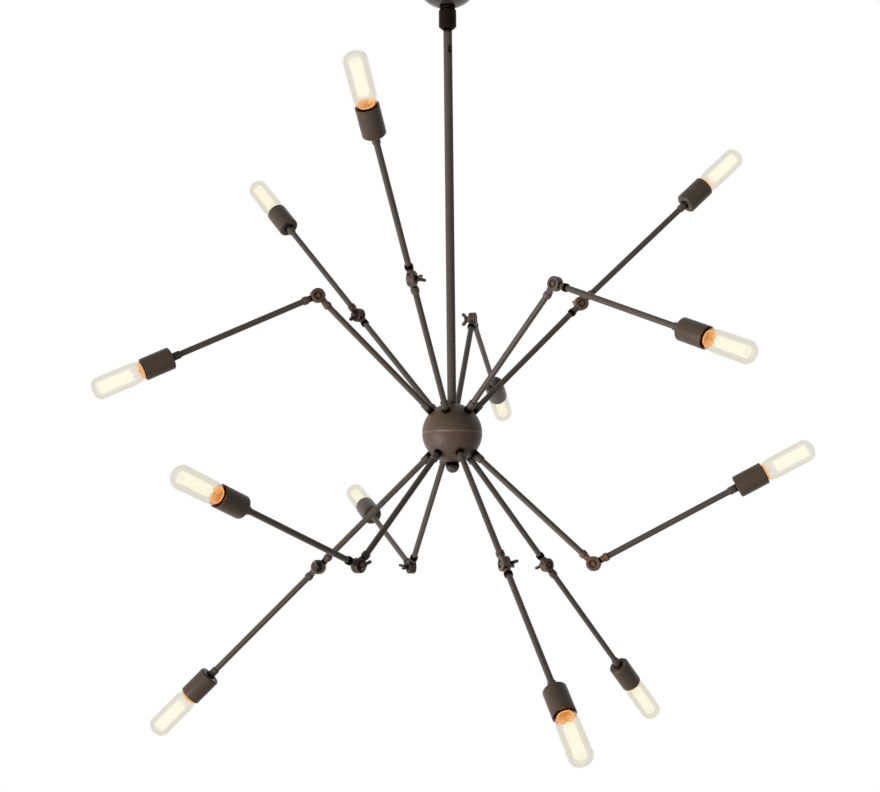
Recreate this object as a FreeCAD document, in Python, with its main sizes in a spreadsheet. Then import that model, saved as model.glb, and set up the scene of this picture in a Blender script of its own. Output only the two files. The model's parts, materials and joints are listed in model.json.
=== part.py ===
# Twelve-light pendant with jointed arms.
# A bell canopy at the ceiling, a thin stem, and a ball of two halves from which two rings of
# six arms leave at about 45 degrees. Each arm has a knuckle with a wing screw, and ends in a
# cup with a tubular lamp. Every other arm is left straight, and the ones between are folded.
# Origin: middle of the bracket's top face, at the ceiling. +Z is up, -Y faces the viewer.
import FreeCAD, Part
import os
import math
import Sketcher

doc = FreeCAD.newDocument("pendant")
sheet = doc.addObject("Spreadsheet::Sheet", "dims")

# Driving dimensions, millimetres and degrees
driving = {
    # ceiling bracket
    "slot_spacing": 88.9,
    "slot_length": 10.0,
    "slot_width": 4.8,
    "bar_end": 8.55,
    "bar_width": 18.0,
    "bar_thick": 2.5,
    # canopy
    "canopy_height": 36.9,
    "rim_room": 5.0,
    "canopy_wall": 1.2,
    "canopy_flat_radius": 10.5,
    "canopy_bowl_radius": 32.0,
    "canopy_waist_radius": 29.5,
    "canopy_waist_height": 14.0,
    "canopy_flare_radius": 33.0,
    # nipple, its nuts and the collar
    "nipple_radius": 5.0,
    "nipple_bore": 3.4,
    "nipple_into_collar": 9.0,
    "bar_nut_radius": 8.0,
    "bar_nut_height": 4.0,
    "collar_radius": 9.5,
    "collar_length": 25.1,
    "collar_bevel": 2.4,
    "collar_neck_radius": 8.3,
    "collar_neck_length": 3.6,
    "collar_groove_radius": 7.2,
    "collar_groove_length": 1.4,
    # stem
    "drop": 500.0,
    "stem_radius": 4.7625,
    "stem_bore": 3.2,
    "stem_into_collar": 12.0,
    "stem_below_shell": 6.5,
    "screw_below_collar": 22.0,
    "screw_radius": 2.6,
    "screw_sink": 0.9,
    "screw_inner": 2.6,
    # ball and finial
    "ball_radius": 31.75,
    "ball_wall": 2.0,
    "seam_bevel": 0.45,
    "lap_radius": 30.6,
    "lap_wall": 2.0,
    "lap_length": 3.4,
    "lap_root": 4.5,
    "lap_clear": 0.2,
    "finial_radius": 7.2,
    "finial_neck_radius": 6.8,
    "finial_middle": 35.0,
    "finial_stud_radius": 2.5,
    "finial_stud_length": 7.0,
    # arms
    "arm_reach": 202.5,
    "upper_rise": 44.4,
    "lower_rise": 43.4,
    "upper_turn": -13.0,
    "lower_turn": 19.9,
    "tube_radius": 3.175,
    "tube_bore": 2.375,
    "tube_into_ball": 6.8,
    "ball_ferrule_radius": 4.3,
    "ball_ferrule_length": 12.0,
    "ferrule_bevel": 0.8,
    "arm_nut_radius": 5.4,
    "arm_nut_height": 3.6,
    # how far each arm is set off its even place in the ring
    "trim_upper_one": -2.2,
    "trim_upper_two": -0.2,
    "trim_upper_three": -3.9,
    "trim_upper_four": 3.1,
    "trim_upper_five": -1.3,
    "trim_upper_six": -0.1,
    "trim_lower_one": -0.4,
    "trim_lower_two": -1.0,
    "trim_lower_three": -4.3,
    "trim_lower_four": -0.9,
    "trim_lower_five": -1.7,
    "trim_lower_six": 0.5,
    # folds of the arms that are bent, towards the ball's seam
    "fold_upper_two": 66.2,
    "fold_upper_three": 1.5,
    "fold_upper_four": 65.1,
    "fold_upper_six": 68.9,
    "fold_lower_two": 70.5,
    "fold_lower_four": 65.9,
    "fold_lower_six": 62.1,
    # knuckle
    "eye_radius": 7.7,
    "eye_thick": 4.4,
    "eye_bevel": 1.4,
    "eye_gap": 0.1,
    "eye_recess_radius": 4.3,
    "eye_recess_depth": 1.6,
    "pin_radius": 2.2,
    "pin_clear": 0.06,
    "bridge_half": 3.3,
    "bridge_start": 5.4,
    "neck_radius": 3.6,
    "neck_start": 9.2,
    "neck_end": 12.2,
    "knuckle_collar_radius": 4.4,
    "knuckle_collar_end": 17.0,
    "tube_seat": 13.4,
    # wing screw
    "shoulder_radius": 4.0,
    "shoulder_height": 1.0,
    "hub_radius": 2.9,
    "hub_height": 5.2,
    "wing_span": 7.5,
    "wing_height": 8.6,
    "wing_thick": 2.4,
    "pin_end": 3.0,
    # cup
    "cup_start": 166.2,
    "cup_length": 31.6,
    "cup_radius": 11.6,
    "cup_wall": 1.0,
    "cup_floor": 2.6,
    "cup_bevel": 1.3,
    "cup_recess_radius": 5.3,
    "cup_recess_depth": 1.0,
    "cup_ferrule_radius": 4.15,
    "cup_ferrule_length": 10.5,
    "cup_nut_radius": 5.6,
    "cup_nut_height": 2.8,
    # lampholder
    "holder_radius": 9.4,
    "holder_height": 19.0,
    "holder_floor": 3.0,
    "holder_clear": 0.3,
    "contact_radius": 2.4,
    "contact_height": 1.0,
    # lamp
    "cap_radius": 5.9,
    "cap_height": 17.0,
    "cap_tip_radius": 2.4,
    "cap_taper": 2.0,
    "glass_radius": 11.6,
    "glass_wall": 0.7,
    "glass_neck_radius": 6.6,
    "glass_throat_radius": 9.6,
    "glass_throat": 4.4,
    "glass_shoulder": 15.4,
    "glass_corner": 8.3,
    "lamp_reach": 253.4,
    "mount_radius": 2.6,
    "mount_waist": 8.5,
    "filament_radius": 3.4,
    "filament_thick": 0.5,
    "filament_gap": 13.0,
    # wiring
    "block_radius": 9.4,
    "block_height": 20.0,
    "cable_radius": 2.3,
    "cable_below_ceiling": 1.5,
    "lead_hole": 1.3,
    "lead_start": 18.0,
    "lead_short": 15.2,
}
for row, (alias, value) in enumerate(driving.items(), start=1):
    sheet.set("A%d" % row, alias)
    sheet.set("B%d" % row, str(value))
    sheet.setAlias("B%d" % row, alias)
derived = {
    "bar_length": "=slot_spacing + 2 * bar_end",
    "canopy_rim_radius": "=slot_spacing / 2 + bar_end + rim_room",
}
for row, (alias, value) in enumerate(derived.items(), start=len(driving) + 1):
    sheet.set("A%d" % row, alias)
    sheet.set("B%d" % row, value)
    sheet.setAlias("B%d" % row, alias)
doc.recompute()


def amount(text):
    # a sum such as "cup_start + 0.5*cup_length - 2", read from the sheet
    total = 0.0
    sign = 1.0
    for word in text.split():
        if word in ("+", "-"):
            sign = 1.0 if word == "+" else -1.0
            continue
        factor, name = word.split("*") if "*" in word else ("1", word)
        value = float(name) if name[0].isdigit() else float(sheet.get(name))
        total += sign * float(factor) * value
        sign = 1.0
    return total


def formula(text):
    # the same sum as an expression that stays bound to the sheet
    words = []
    for word in text.split():
        factor, name = word.split("*") if "*" in word else ("", word)
        if name[0].isalpha():
            name = "dims." + name
        words.append(factor + " * " + name if factor else name)
    return " ".join(words)


def origin_part(body, role):
    return [piece for piece in body.Origin.OriginFeatures if piece.Role == role][0]


def outline(body, name, role, points):
    # a closed outline whose corners are bound to the sheet; a corner with a third entry
    # starts an arc of that radius, and the fourth says which side of the chord it bulges to;
    # a fifth centres the arc on the upright axis, and frees the height of the corner it names
    drawn = body.newObject("Sketcher::SketchObject", name)
    drawn.AttachmentSupport = [(origin_part(body, role), "")]
    drawn.MapMode = "FlatFace"
    corners = [(amount(point[0]), amount(point[1])) for point in points]
    count = len(points)
    for index in range(count):
        x1, y1 = corners[index]
        x2, y2 = corners[(index + 1) % count]
        start = FreeCAD.Vector(x1, y1, 0)
        end = FreeCAD.Vector(x2, y2, 0)
        if len(points[index]) == 2:
            drawn.addGeometry(Part.LineSegment(start, end), False)
            continue
        radius = amount(points[index][2])
        side = points[index][3]
        chord = end - start
        half = chord.Length / 2
        rise = radius - math.sqrt(max(radius * radius - half * half, 0.0))
        across = FreeCAD.Vector(chord.y, -chord.x, 0).normalize()
        middle = (start + end) / 2 + across * (rise * side)
        drawn.addGeometry(Part.Arc(start, middle, end), False)
    # which end of each edge is its first corner
    first_end = []
    for index in range(count):
        first = FreeCAD.Vector(corners[index][0], corners[index][1], 0)
        first_end.append(1 if (drawn.getPoint(index, 1) - first).Length < 1e-6 else 2)
    for index in range(count):
        following = (index + 1) % count
        drawn.addConstraint(Sketcher.Constraint(
            "Coincident", index, 3 - first_end[index], following, first_end[following]))
    free_height = set()
    for index in range(count):
        if len(points[index]) == 5:
            free_height.add(index if points[index][4] == "start" else (index + 1) % count)
            drawn.addConstraint(Sketcher.Constraint("PointOnObject", index, 3, -2))
    for index in range(count):
        place = first_end[index]
        for axis, kind, line in ((0, "DistanceX", -2), (1, "DistanceY", -1)):
            if axis == 1 and index in free_height:
                continue
            if abs(corners[index][axis]) < 1e-9:
                drawn.addConstraint(Sketcher.Constraint("PointOnObject", index, place, line))
                continue
            number = drawn.addConstraint(
                Sketcher.Constraint(kind, -1, 1, index, place, corners[index][axis]))
            drawn.setExpression("Constraints[%d]" % number, formula(points[index][axis]))
        if len(points[index]) > 2:
            number = drawn.addConstraint(
                Sketcher.Constraint("Radius", index, amount(points[index][2])))
            drawn.setExpression("Constraints[%d]" % number, formula(points[index][2]))
    return drawn


def turned(body, name, role, points, cut=False):
    # a turned feature about the outline's upright axis
    drawn = outline(body, name + "_outline", role, points)
    kind = "PartDesign::Groove" if cut else "PartDesign::Revolution"
    feature = body.newObject(kind, name)
    feature.Profile = drawn
    feature.ReferenceAxis = (drawn, ["V_Axis"])
    feature.Angle = 360
    return feature


def new_body(label):
    body = doc.addObject("PartDesign::Body", label)
    body.Label = label
    return body


def turned_body(label, points):
    body = new_body(label)
    turned(body, label + "_turned", "XZ_Plane", points)
    return body


def placed(piece, text):
    piece.setExpression("Placement", text)


def group(label, pieces):
    made = doc.addObject("Part::Compound", label)
    made.Label = label
    made.Links = pieces
    return made


def cylinder(name, radius, height):
    made = doc.addObject("Part::Cylinder", name)
    made.setExpression("Radius", formula(radius))
    made.setExpression("Height", formula(height))
    return made


def box(name, length, width, height):
    made = doc.addObject("Part::Box", name)
    made.setExpression("Length", formula(length))
    made.setExpression("Width", formula(width))
    made.setExpression("Height", formula(height))
    return made


def cut(name, base, tool):
    made = doc.addObject("Part::Cut", name)
    made.Label = name
    made.Base = base
    made.Tool = tool
    return made


def hex_nut(name, corner, height, bore):
    prism = doc.addObject("Part::Prism", name + "_blank")
    prism.Polygon = 6
    prism.setExpression("Circumradius", formula(corner))
    prism.setExpression("Height", formula(height))
    hole = cylinder(name + "_hole", bore, height)
    return cut(name, prism, hole)


ball_middle = "vector(0; 0; -dims.drop)"
upright = "rotation(0; 0; 0)"
upside_down = "rotation(0; 0; 180)"

# Ceiling bracket: a flat steel bar under the ceiling box, with a slot near each end for the
# box's screws and a tapped hole in the middle for the nipple.
bar = box("bar_blank", "bar_length", "bar_width", "bar_thick")
placed(bar, "placement(vector(-dims.bar_length / 2; -dims.bar_width / 2; -dims.bar_thick);"
            " rotation(0; 0; 0))")
bar_hole = cylinder("bar_hole", "nipple_radius", "bar_thick")
placed(bar_hole, "placement(vector(0; 0; -dims.bar_thick); rotation(0; 0; 0))")
slot_tools = [bar_hole]
for side, sign in (("left", "-"), ("right", "")):
    middle = box("slot_middle_" + side, "slot_length - slot_width", "slot_width", "bar_thick")
    placed(middle, "placement(vector(%sdims.slot_spacing / 2 - (dims.slot_length - dims.slot_width)"
                   " / 2; -dims.slot_width / 2; -dims.bar_thick); rotation(0; 0; 0))" % sign)
    slot_tools.append(middle)
    for end, way in (("inner", "-"), ("outer", "+")):
        tip = cylinder("slot_tip_%s_%s" % (side, end), "0.5*slot_width", "bar_thick")
        placed(tip, "placement(vector(%sdims.slot_spacing / 2 %s (dims.slot_length -"
                    " dims.slot_width) / 2; 0; -dims.bar_thick); rotation(0; 0; 0))" % (sign, way))
        slot_tools.append(tip)
slots = doc.addObject("Part::MultiFuse", "slots")
slots.Shapes = slot_tools
bracket = cut("ceiling_bracket", bar, slots)

# Canopy: a spun sheet cover, round below and flared to a short upright rim at the ceiling.
canopy = turned_body("canopy", [
    ("nipple_radius", "0"),
    ("canopy_flat_radius", "0", "canopy_bowl_radius", 1, "end"),
    ("canopy_waist_radius", "canopy_waist_height", "canopy_flare_radius", -1),
    ("canopy_rim_radius - 1.7", "canopy_height - 7.2"),
    ("canopy_rim_radius", "canopy_height - 5.8"),
    ("canopy_rim_radius", "canopy_height"),
    ("canopy_rim_radius - canopy_wall", "canopy_height"),
    ("canopy_rim_radius - canopy_wall", "canopy_height - 5.2"),
    ("canopy_rim_radius - 2.2", "canopy_height - 7.2 + canopy_wall",
     "canopy_flare_radius + canopy_wall", 1),
    ("canopy_waist_radius - 0.866*canopy_wall", "canopy_waist_height + 0.5*canopy_wall",
     "canopy_bowl_radius - canopy_wall", -1, "start"),
    ("canopy_flat_radius - 0.27*canopy_wall", "canopy_wall"),
    ("nipple_radius", "canopy_wall"),
])
placed(canopy, "placement(vector(0; 0; -dims.canopy_height); rotation(0; 0; 0))")

# Canopy nipple: a hollow threaded tube that carries the whole light and lets the cable through.
nipple = turned_body("canopy_nipple", [
    ("nipple_bore", "0"),
    ("nipple_radius", "0"),
    ("nipple_radius", "canopy_height + nipple_into_collar - 0.3"),
    ("nipple_bore", "canopy_height + nipple_into_collar - 0.3"),
])
placed(nipple, "placement(vector(0; 0; -dims.canopy_height - dims.nipple_into_collar);"
               " rotation(0; 0; 0))")

# Canopy collar: the thick sleeve under the canopy, with a grooved neck and a bevelled foot. It
# screws up the nipple to hold the canopy, and the stem screws into it from below.
collar = turned_body("canopy_collar", [
    ("stem_radius", "0"),
    ("collar_radius - collar_bevel", "0"),
    ("collar_radius", "collar_bevel"),
    ("collar_radius", "collar_length - collar_neck_length - collar_groove_length"),
    ("collar_groove_radius", "collar_length - collar_neck_length - collar_groove_length"),
    ("collar_groove_radius", "collar_length - collar_neck_length"),
    ("collar_neck_radius", "collar_length - collar_neck_length"),
    ("collar_neck_radius", "collar_length"),
    ("nipple_radius", "collar_length"),
    ("nipple_radius", "collar_length - nipple_into_collar"),
    ("stem_bore", "collar_length - nipple_into_collar"),
    ("stem_bore", "stem_into_collar"),
    ("stem_radius", "stem_into_collar"),
])
placed(collar, "placement(vector(0; 0; -dims.canopy_height - dims.collar_length);"
               " rotation(0; 0; 0))")

# Stem: a straight tube from the collar into the top of the ball, with a small recess near its
# top where a set screw locks it.
stem_tube = turned_body("stem_tube", [
    ("stem_bore", "ball_radius - ball_wall - stem_below_shell"),
    ("stem_radius", "ball_radius - ball_wall - stem_below_shell"),
    ("stem_radius", "drop - canopy_height - collar_length + stem_into_collar"),
    ("stem_bore", "drop - canopy_height - collar_length + stem_into_collar"),
])
placed(stem_tube, "placement(%s; %s)" % (ball_middle, upright))
doc.recompute()
recess = stem_tube.newObject("PartDesign::SubtractiveCylinder", "stem_recess")
recess.setExpression("Radius", formula("screw_radius"))
recess.setExpression("Height", formula("2*stem_radius"))
placed(recess, "placement(vector(0; 0; dims.drop - dims.canopy_height - dims.collar_length -"
               " dims.screw_below_collar); rotation(-60; 90; 0))")
stem_tube.Tip = recess

# Arms are counted from the front towards +X in each ring
arm_words = ("one", "two", "three", "four", "five", "six")
arm_spacing = 60


def drill_arms(half, ring, turn, tilt):
    # six arm holes in a half of the ball, each where its own arm is set
    for number, word in enumerate(arm_words):
        hole = half.newObject("PartDesign::SubtractiveCylinder", "%s_hole_%s" % (ring, word))
        hole.setExpression("Radius", formula("tube_radius"))
        hole.setExpression("Height", formula("ball_radius + 2"))
        placed(hole, "placement(vector(0; 0; 0); rotation(%s; 0; %s))" % (
            turn % (arm_spacing * number, word), tilt))
        doc.recompute()
        half.Tip = hole


# Ball, upper half: a spun half shell with six arm holes, a hole for the stem and a counterbored
# rim that takes the lower half's thread.
hub_upper = new_body("hub_upper")
turned(hub_upper, "upper_shell", "XZ_Plane", [
    ("ball_radius", "0", "ball_radius", 1),
    ("0", "ball_radius"),
    ("0", "ball_radius - ball_wall", "ball_radius - ball_wall", -1),
    ("ball_radius - ball_wall", "0"),
])
turned(hub_upper, "upper_counterbore", "XZ_Plane", [
    ("lap_radius - 5", "0"),
    ("lap_radius", "0"),
    ("lap_radius", "lap_length + lap_clear"),
    ("lap_radius - 5", "lap_length + lap_clear"),
], cut=True)
turned(hub_upper, "upper_seam", "XZ_Plane", [
    ("ball_radius - seam_bevel", "0"),
    ("ball_radius + 0.5", "0"),
    ("ball_radius + 0.5", "seam_bevel + 0.5"),
], cut=True)
doc.recompute()
stem_hole = hub_upper.newObject("PartDesign::SubtractiveCylinder", "stem_hole")
stem_hole.setExpression("Radius", formula("stem_radius"))
stem_hole.setExpression("Height", formula("ball_radius + 2"))
doc.recompute()
drill_arms(hub_upper, "upper", "%d + dims.trim_upper_%s", "90 - dims.upper_rise")
placed(hub_upper, "placement(%s; rotation(dims.upper_turn; 0; 0))" % ball_middle)

# Ball, lower half: the same shell turned over, with a threaded lap that stands up inside the
# upper half and a small hole for the finial's stud.
hub_lower = new_body("hub_lower")
turned(hub_lower, "lower_shell", "XZ_Plane", [
    ("ball_radius", "0", "ball_radius", 1),
    ("0", "ball_radius"),
    ("0", "ball_radius - ball_wall", "ball_radius - ball_wall", -1),
    ("ball_radius - ball_wall", "0"),
])
turned(hub_lower, "lower_lap", "XZ_Plane", [
    ("lap_radius - lap_wall", "0 - lap_length"),
    ("lap_radius", "0 - lap_length"),
    ("lap_radius", "0.5*lap_root"),
    ("lap_radius - lap_wall", "lap_root"),
])
turned(hub_lower, "lower_seam", "XZ_Plane", [
    ("ball_radius - seam_bevel", "0"),
    ("ball_radius + 0.5", "0"),
    ("ball_radius + 0.5", "seam_bevel + 0.5"),
], cut=True)
doc.recompute()
stud_hole = hub_lower.newObject("PartDesign::SubtractiveCylinder", "stud_hole")
stud_hole.setExpression("Radius", formula("finial_stud_radius"))
stud_hole.setExpression("Height", formula("ball_radius + 2"))
doc.recompute()
drill_arms(hub_lower, "lower", "-(%d + dims.trim_lower_%s)", "dims.lower_rise - 90")
placed(hub_lower, "placement(%s; rotation(dims.lower_turn; 0; 180))" % ball_middle)

# Finial: a turned button under the ball, seated on the round shell and held by its stud.
finial = new_body("finial")
turned(finial, "finial_button", "XZ_Plane", [
    ("0", "ball_radius - 2"),
    ("finial_neck_radius", "ball_radius - 2"),
    ("finial_neck_radius", "finial_middle - 0.4*finial_radius"),
    ("0.965*finial_radius", "finial_middle - 0.25*finial_radius"),
    ("finial_radius", "finial_middle", "finial_radius", 1),
    ("0", "finial_middle + finial_radius"),
])
doc.recompute()
seat = finial.newObject("PartDesign::SubtractiveSphere", "finial_seat")
seat.setExpression("Radius", formula("ball_radius"))
doc.recompute()
turned(finial, "finial_stud", "XZ_Plane", [
    ("0", "ball_radius - finial_stud_length"),
    ("finial_stud_radius", "ball_radius - finial_stud_length"),
    ("finial_stud_radius", "ball_radius + 1"),
    ("0", "ball_radius + 1"),
])
placed(finial, "placement(%s; %s)" % (ball_middle, upside_down))
doc.recompute()

# Knuckle eye: half of the joint. A round eye on one side of the joint's middle plane, with a
# recessed face, a bridge back to the arm's axis, a round neck and a collar for the tube.
eye = new_body("knuckle_eye")
turned(eye, "eye_disc", "XY_Plane", [
    ("pin_radius + pin_clear", "0.5*eye_gap"),
    ("eye_radius", "0.5*eye_gap"),
    ("eye_radius", "eye_thick - eye_bevel"),
    ("eye_radius - eye_bevel", "eye_thick"),
    ("eye_recess_radius", "eye_thick"),
    ("eye_recess_radius", "eye_thick - eye_recess_depth"),
    ("pin_radius + pin_clear", "eye_thick - eye_recess_depth"),
])
doc.recompute()
bridge_outline = outline(eye, "eye_bridge_outline", "YZ_Plane", [
    ("0.5*eye_gap", "bridge_start"),
    ("bridge_half", "bridge_start"),
    ("bridge_half", "neck_start + 0.6"),
    ("0.5*eye_gap", "neck_start + 0.6"),
])
bridge = eye.newObject("PartDesign::Pad", "eye_bridge")
bridge.Profile = bridge_outline
bridge.setExpression("Length", formula("2*bridge_half"))
bridge.Midplane = True
doc.recompute()
turned(eye, "eye_neck", "XZ_Plane", [
    ("0", "neck_start"),
    ("neck_radius", "neck_start"),
    ("neck_radius", "neck_end"),
    ("knuckle_collar_radius", "neck_end"),
    ("knuckle_collar_radius", "knuckle_collar_end - 0.6"),
    ("knuckle_collar_radius - 0.6", "knuckle_collar_end"),
    ("tube_radius", "knuckle_collar_end"),
    ("tube_radius", "tube_seat"),
    ("0", "tube_seat"),
])
doc.recompute()

# Inner tube: from its seat in the fixed knuckle to just inside the ball.
inner_tube = turned_body("inner_tube", [
    ("tube_bore", "tube_seat"),
    ("tube_radius", "tube_seat"),
    ("tube_radius", "arm_reach - ball_radius + tube_into_ball"),
    ("tube_bore", "arm_reach - ball_radius + tube_into_ball"),
])

# Ball ferrule: a sleeve on the tube, hollowed at its foot to sit on the round ball.
ball_ferrule = new_body("ball_ferrule")
turned(ball_ferrule, "ball_ferrule_sleeve", "XZ_Plane", [
    ("tube_radius", "arm_reach - ball_radius - ball_ferrule_length"),
    ("ball_ferrule_radius - ferrule_bevel", "arm_reach - ball_radius - ball_ferrule_length"),
    ("ball_ferrule_radius", "arm_reach - ball_radius - ball_ferrule_length + ferrule_bevel"),
    ("ball_ferrule_radius", "arm_reach - ball_radius + 1"),
    ("tube_radius", "arm_reach - ball_radius + 1"),
])
doc.recompute()
foot = ball_ferrule.newObject("PartDesign::SubtractiveSphere", "ball_ferrule_foot")
foot.setExpression("Radius", formula("ball_radius"))
placed(foot, "placement(vector(0; 0; dims.arm_reach); rotation(0; 0; 0))")
ball_ferrule.Tip = foot
doc.recompute()

# Arm nut: holds the tube from inside the ball, rounded on top to the shell.
arm_nut_blank = hex_nut("arm_nut_blank_nut", "arm_nut_radius", "arm_nut_height + 2", "tube_radius")
placed(arm_nut_blank, "placement(vector(0; 0; dims.arm_reach - dims.ball_radius + dims.ball_wall"
                      " - 1.5); rotation(0; 0; 0))")
arm_nut_limit = doc.addObject("Part::Sphere", "arm_nut_limit")
arm_nut_limit.setExpression("Radius", formula("ball_radius - ball_wall"))
placed(arm_nut_limit, "placement(vector(0; 0; dims.arm_reach); rotation(0; 0; 0))")
arm_nut = doc.addObject("Part::Common", "arm_nut")
arm_nut.Base = arm_nut_blank
arm_nut.Tool = arm_nut_limit

# Outer tube: from its seat in the moving knuckle, through the ferrule, to the nut in the cup.
outer_tube = turned_body("outer_tube", [
    ("tube_bore", "tube_seat"),
    ("tube_radius", "tube_seat"),
    ("tube_radius", "cup_start + cup_floor + cup_nut_height"),
    ("tube_bore", "cup_start + cup_floor + cup_nut_height"),
])

# Cup ferrule: a sleeve on the tube that backs the cup.
cup_ferrule = turned_body("cup_ferrule", [
    ("tube_radius", "cup_start + cup_recess_depth - cup_ferrule_length"),
    ("cup_ferrule_radius - ferrule_bevel", "cup_start + cup_recess_depth - cup_ferrule_length"),
    ("cup_ferrule_radius",
     "cup_start + cup_recess_depth - cup_ferrule_length + ferrule_bevel"),
    ("cup_ferrule_radius", "cup_start + cup_recess_depth"),
    ("tube_radius", "cup_start + cup_recess_depth"),
])

# Cup: a turned cup with a bevelled back, a shallow recess round the ferrule and an open mouth.
cup = turned_body("cup", [
    ("tube_radius", "cup_start + cup_recess_depth"),
    ("cup_recess_radius", "cup_start + cup_recess_depth"),
    ("cup_recess_radius", "cup_start"),
    ("cup_radius - cup_bevel", "cup_start"),
    ("cup_radius", "cup_start + cup_bevel"),
    ("cup_radius", "cup_start + cup_length"),
    ("cup_radius - cup_wall", "cup_start + cup_length"),
    ("cup_radius - cup_wall", "cup_start + cup_floor"),
    ("tube_radius", "cup_start + cup_floor"),
])

# Cup nut: clamps the cup against the ferrule.
cup_nut = hex_nut("cup_nut", "cup_nut_radius", "cup_nut_height", "tube_radius")
placed(cup_nut, "placement(vector(0; 0; dims.cup_start + dims.cup_floor); rotation(0; 0; 0))")

# Lampholder: a moulded insert with a screw bore, standing on the nut, and its centre contact.
holder_start = "cup_start + cup_floor + cup_nut_height"
holder = turned_body("lampholder", [
    ("lead_hole", holder_start),
    ("holder_radius", holder_start),
    ("holder_radius", holder_start + " + holder_height"),
    ("cap_radius + holder_clear", holder_start + " + holder_height"),
    ("cap_radius + holder_clear", holder_start + " + holder_floor"),
    ("lead_hole", holder_start + " + holder_floor"),
])
contact = cylinder("lamp_contact", "contact_radius", "contact_height")
placed(contact, "placement(vector(0; 0; dims.cup_start + dims.cup_floor + dims.cup_nut_height +"
                " dims.holder_floor); rotation(0; 0; 0))")

# Lamp: a screw cap, a clear tubular glass with a rounded end that narrows in the cup's mouth, and
# inside it a glass mount and the column of its filament.
cap_start = holder_start + " + holder_floor + contact_height"
cap_end = cap_start + " + cap_height"
lamp_cap = turned_body("lamp_cap", [
    ("0", cap_start),
    ("cap_tip_radius", cap_start),
    ("cap_radius", cap_start + " + cap_taper"),
    ("cap_radius", cap_end),
    ("0", cap_end),
])
lamp_glass = turned_body("lamp_glass", [
    ("glass_neck_radius - glass_wall", cap_end),
    ("glass_neck_radius", cap_end),
    ("glass_throat_radius", cap_end + " + glass_throat"),
    ("glass_radius", cap_end + " + glass_shoulder"),
    ("glass_radius", "lamp_reach - glass_corner", "glass_corner", 1),
    ("glass_radius - glass_corner", "lamp_reach"),
    ("0", "lamp_reach"),
    ("0", "lamp_reach - glass_wall"),
    ("glass_radius - glass_corner", "lamp_reach - glass_wall", "glass_corner - glass_wall", -1),
    ("glass_radius - glass_wall", "lamp_reach - glass_corner"),
    ("glass_radius - glass_wall", cap_end + " + glass_shoulder"),
    ("glass_throat_radius - glass_wall", cap_end + " + glass_throat"),
])
lamp_mount = turned_body("lamp_mount", [
    ("0", cap_end),
    ("mount_radius", cap_end),
    ("0.6*mount_radius", cap_end + " + mount_waist"),
    ("filament_radius", cap_end + " + filament_gap - 1"),
    ("filament_radius", cap_end + " + filament_gap"),
    ("0", cap_end + " + filament_gap"),
])
lamp_filament = turned_body("lamp_filament", [
    ("filament_radius - filament_thick", cap_end + " + filament_gap"),
    ("filament_radius", cap_end + " + filament_gap"),
    ("filament_radius", "lamp_reach - filament_gap"),
    ("filament_radius - filament_thick", "lamp_reach - filament_gap"),
])

# Wing screw: a shaft through both eyes, a round shoulder in the recess of the moving eye, and
# two flared ears for the fingers. Its shaft ends in the recess of the fixed eye.
wing = new_body("wing_screw")
shoulder_start = "pin_end + eye_thick - eye_recess_depth"
eye_face = "pin_end + eye_thick"
turned(wing, "wing_shaft", "XY_Plane", [
    ("0", "0 - 1"),
    ("pin_radius", "0 - 1"),
    ("pin_radius", shoulder_start),
    ("shoulder_radius", shoulder_start),
    ("shoulder_radius", eye_face + " + shoulder_height"),
    ("hub_radius", eye_face + " + shoulder_height + 0.6"),
    ("hub_radius", eye_face + " + hub_height"),
    ("0", eye_face + " + hub_height"),
])
doc.recompute()
ear_outline = outline(wing, "wing_ear_outline", "YZ_Plane", [
    (eye_face + " + shoulder_height + 0.4", "1"),
    (eye_face + " + shoulder_height + 0.8", "0.45*wing_span"),
    (eye_face + " + 0.5*wing_height", "0.94*wing_span"),
    (eye_face + " + 0.72*wing_height", "wing_span"),
    (eye_face + " + 0.94*wing_height", "0.95*wing_span"),
    (eye_face + " + wing_height", "0.78*wing_span"),
    (eye_face + " + 0.9*wing_height", "0.62*wing_span"),
    (eye_face + " + hub_height - 0.3", "1"),
])
ear = wing.newObject("PartDesign::Pad", "wing_ear")
ear.Profile = ear_outline
ear.setExpression("Length", formula("wing_thick"))
ear.Midplane = True
doc.recompute()
ears = wing.newObject("PartDesign::PolarPattern", "wing_ears")
ears.Originals = [ear]
ears.Axis = (origin_part(wing, "Y_Axis"), [""])
ears.Angle = 360
ears.Occurrences = 2
wing.Tip = ears
placed(wing, "placement(vector(0; -dims.pin_end; 0); rotation(0; 0; 0))")
doc.recompute()

# Wiring inside: the supply cable down the stem and the block that joins the leads in the ball.
block = cylinder("terminal_block", "block_radius", "block_height")
placed(block, "placement(vector(0; 0; -dims.drop - dims.block_height / 2); rotation(0; 0; 0))")
cable = cylinder("supply_cable", "cable_radius",
                 "drop - 0.5*block_height - cable_below_ceiling")
placed(cable, "placement(vector(0; 0; -dims.drop + dims.block_height / 2); rotation(0; 0; 0))")
lead = cylinder("arm_lead", "tube_bore", "arm_reach - lead_start - lead_short")
placed(lead, "placement(vector(0; 0; dims.lead_start); rotation(0; 0; 0))")

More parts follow.
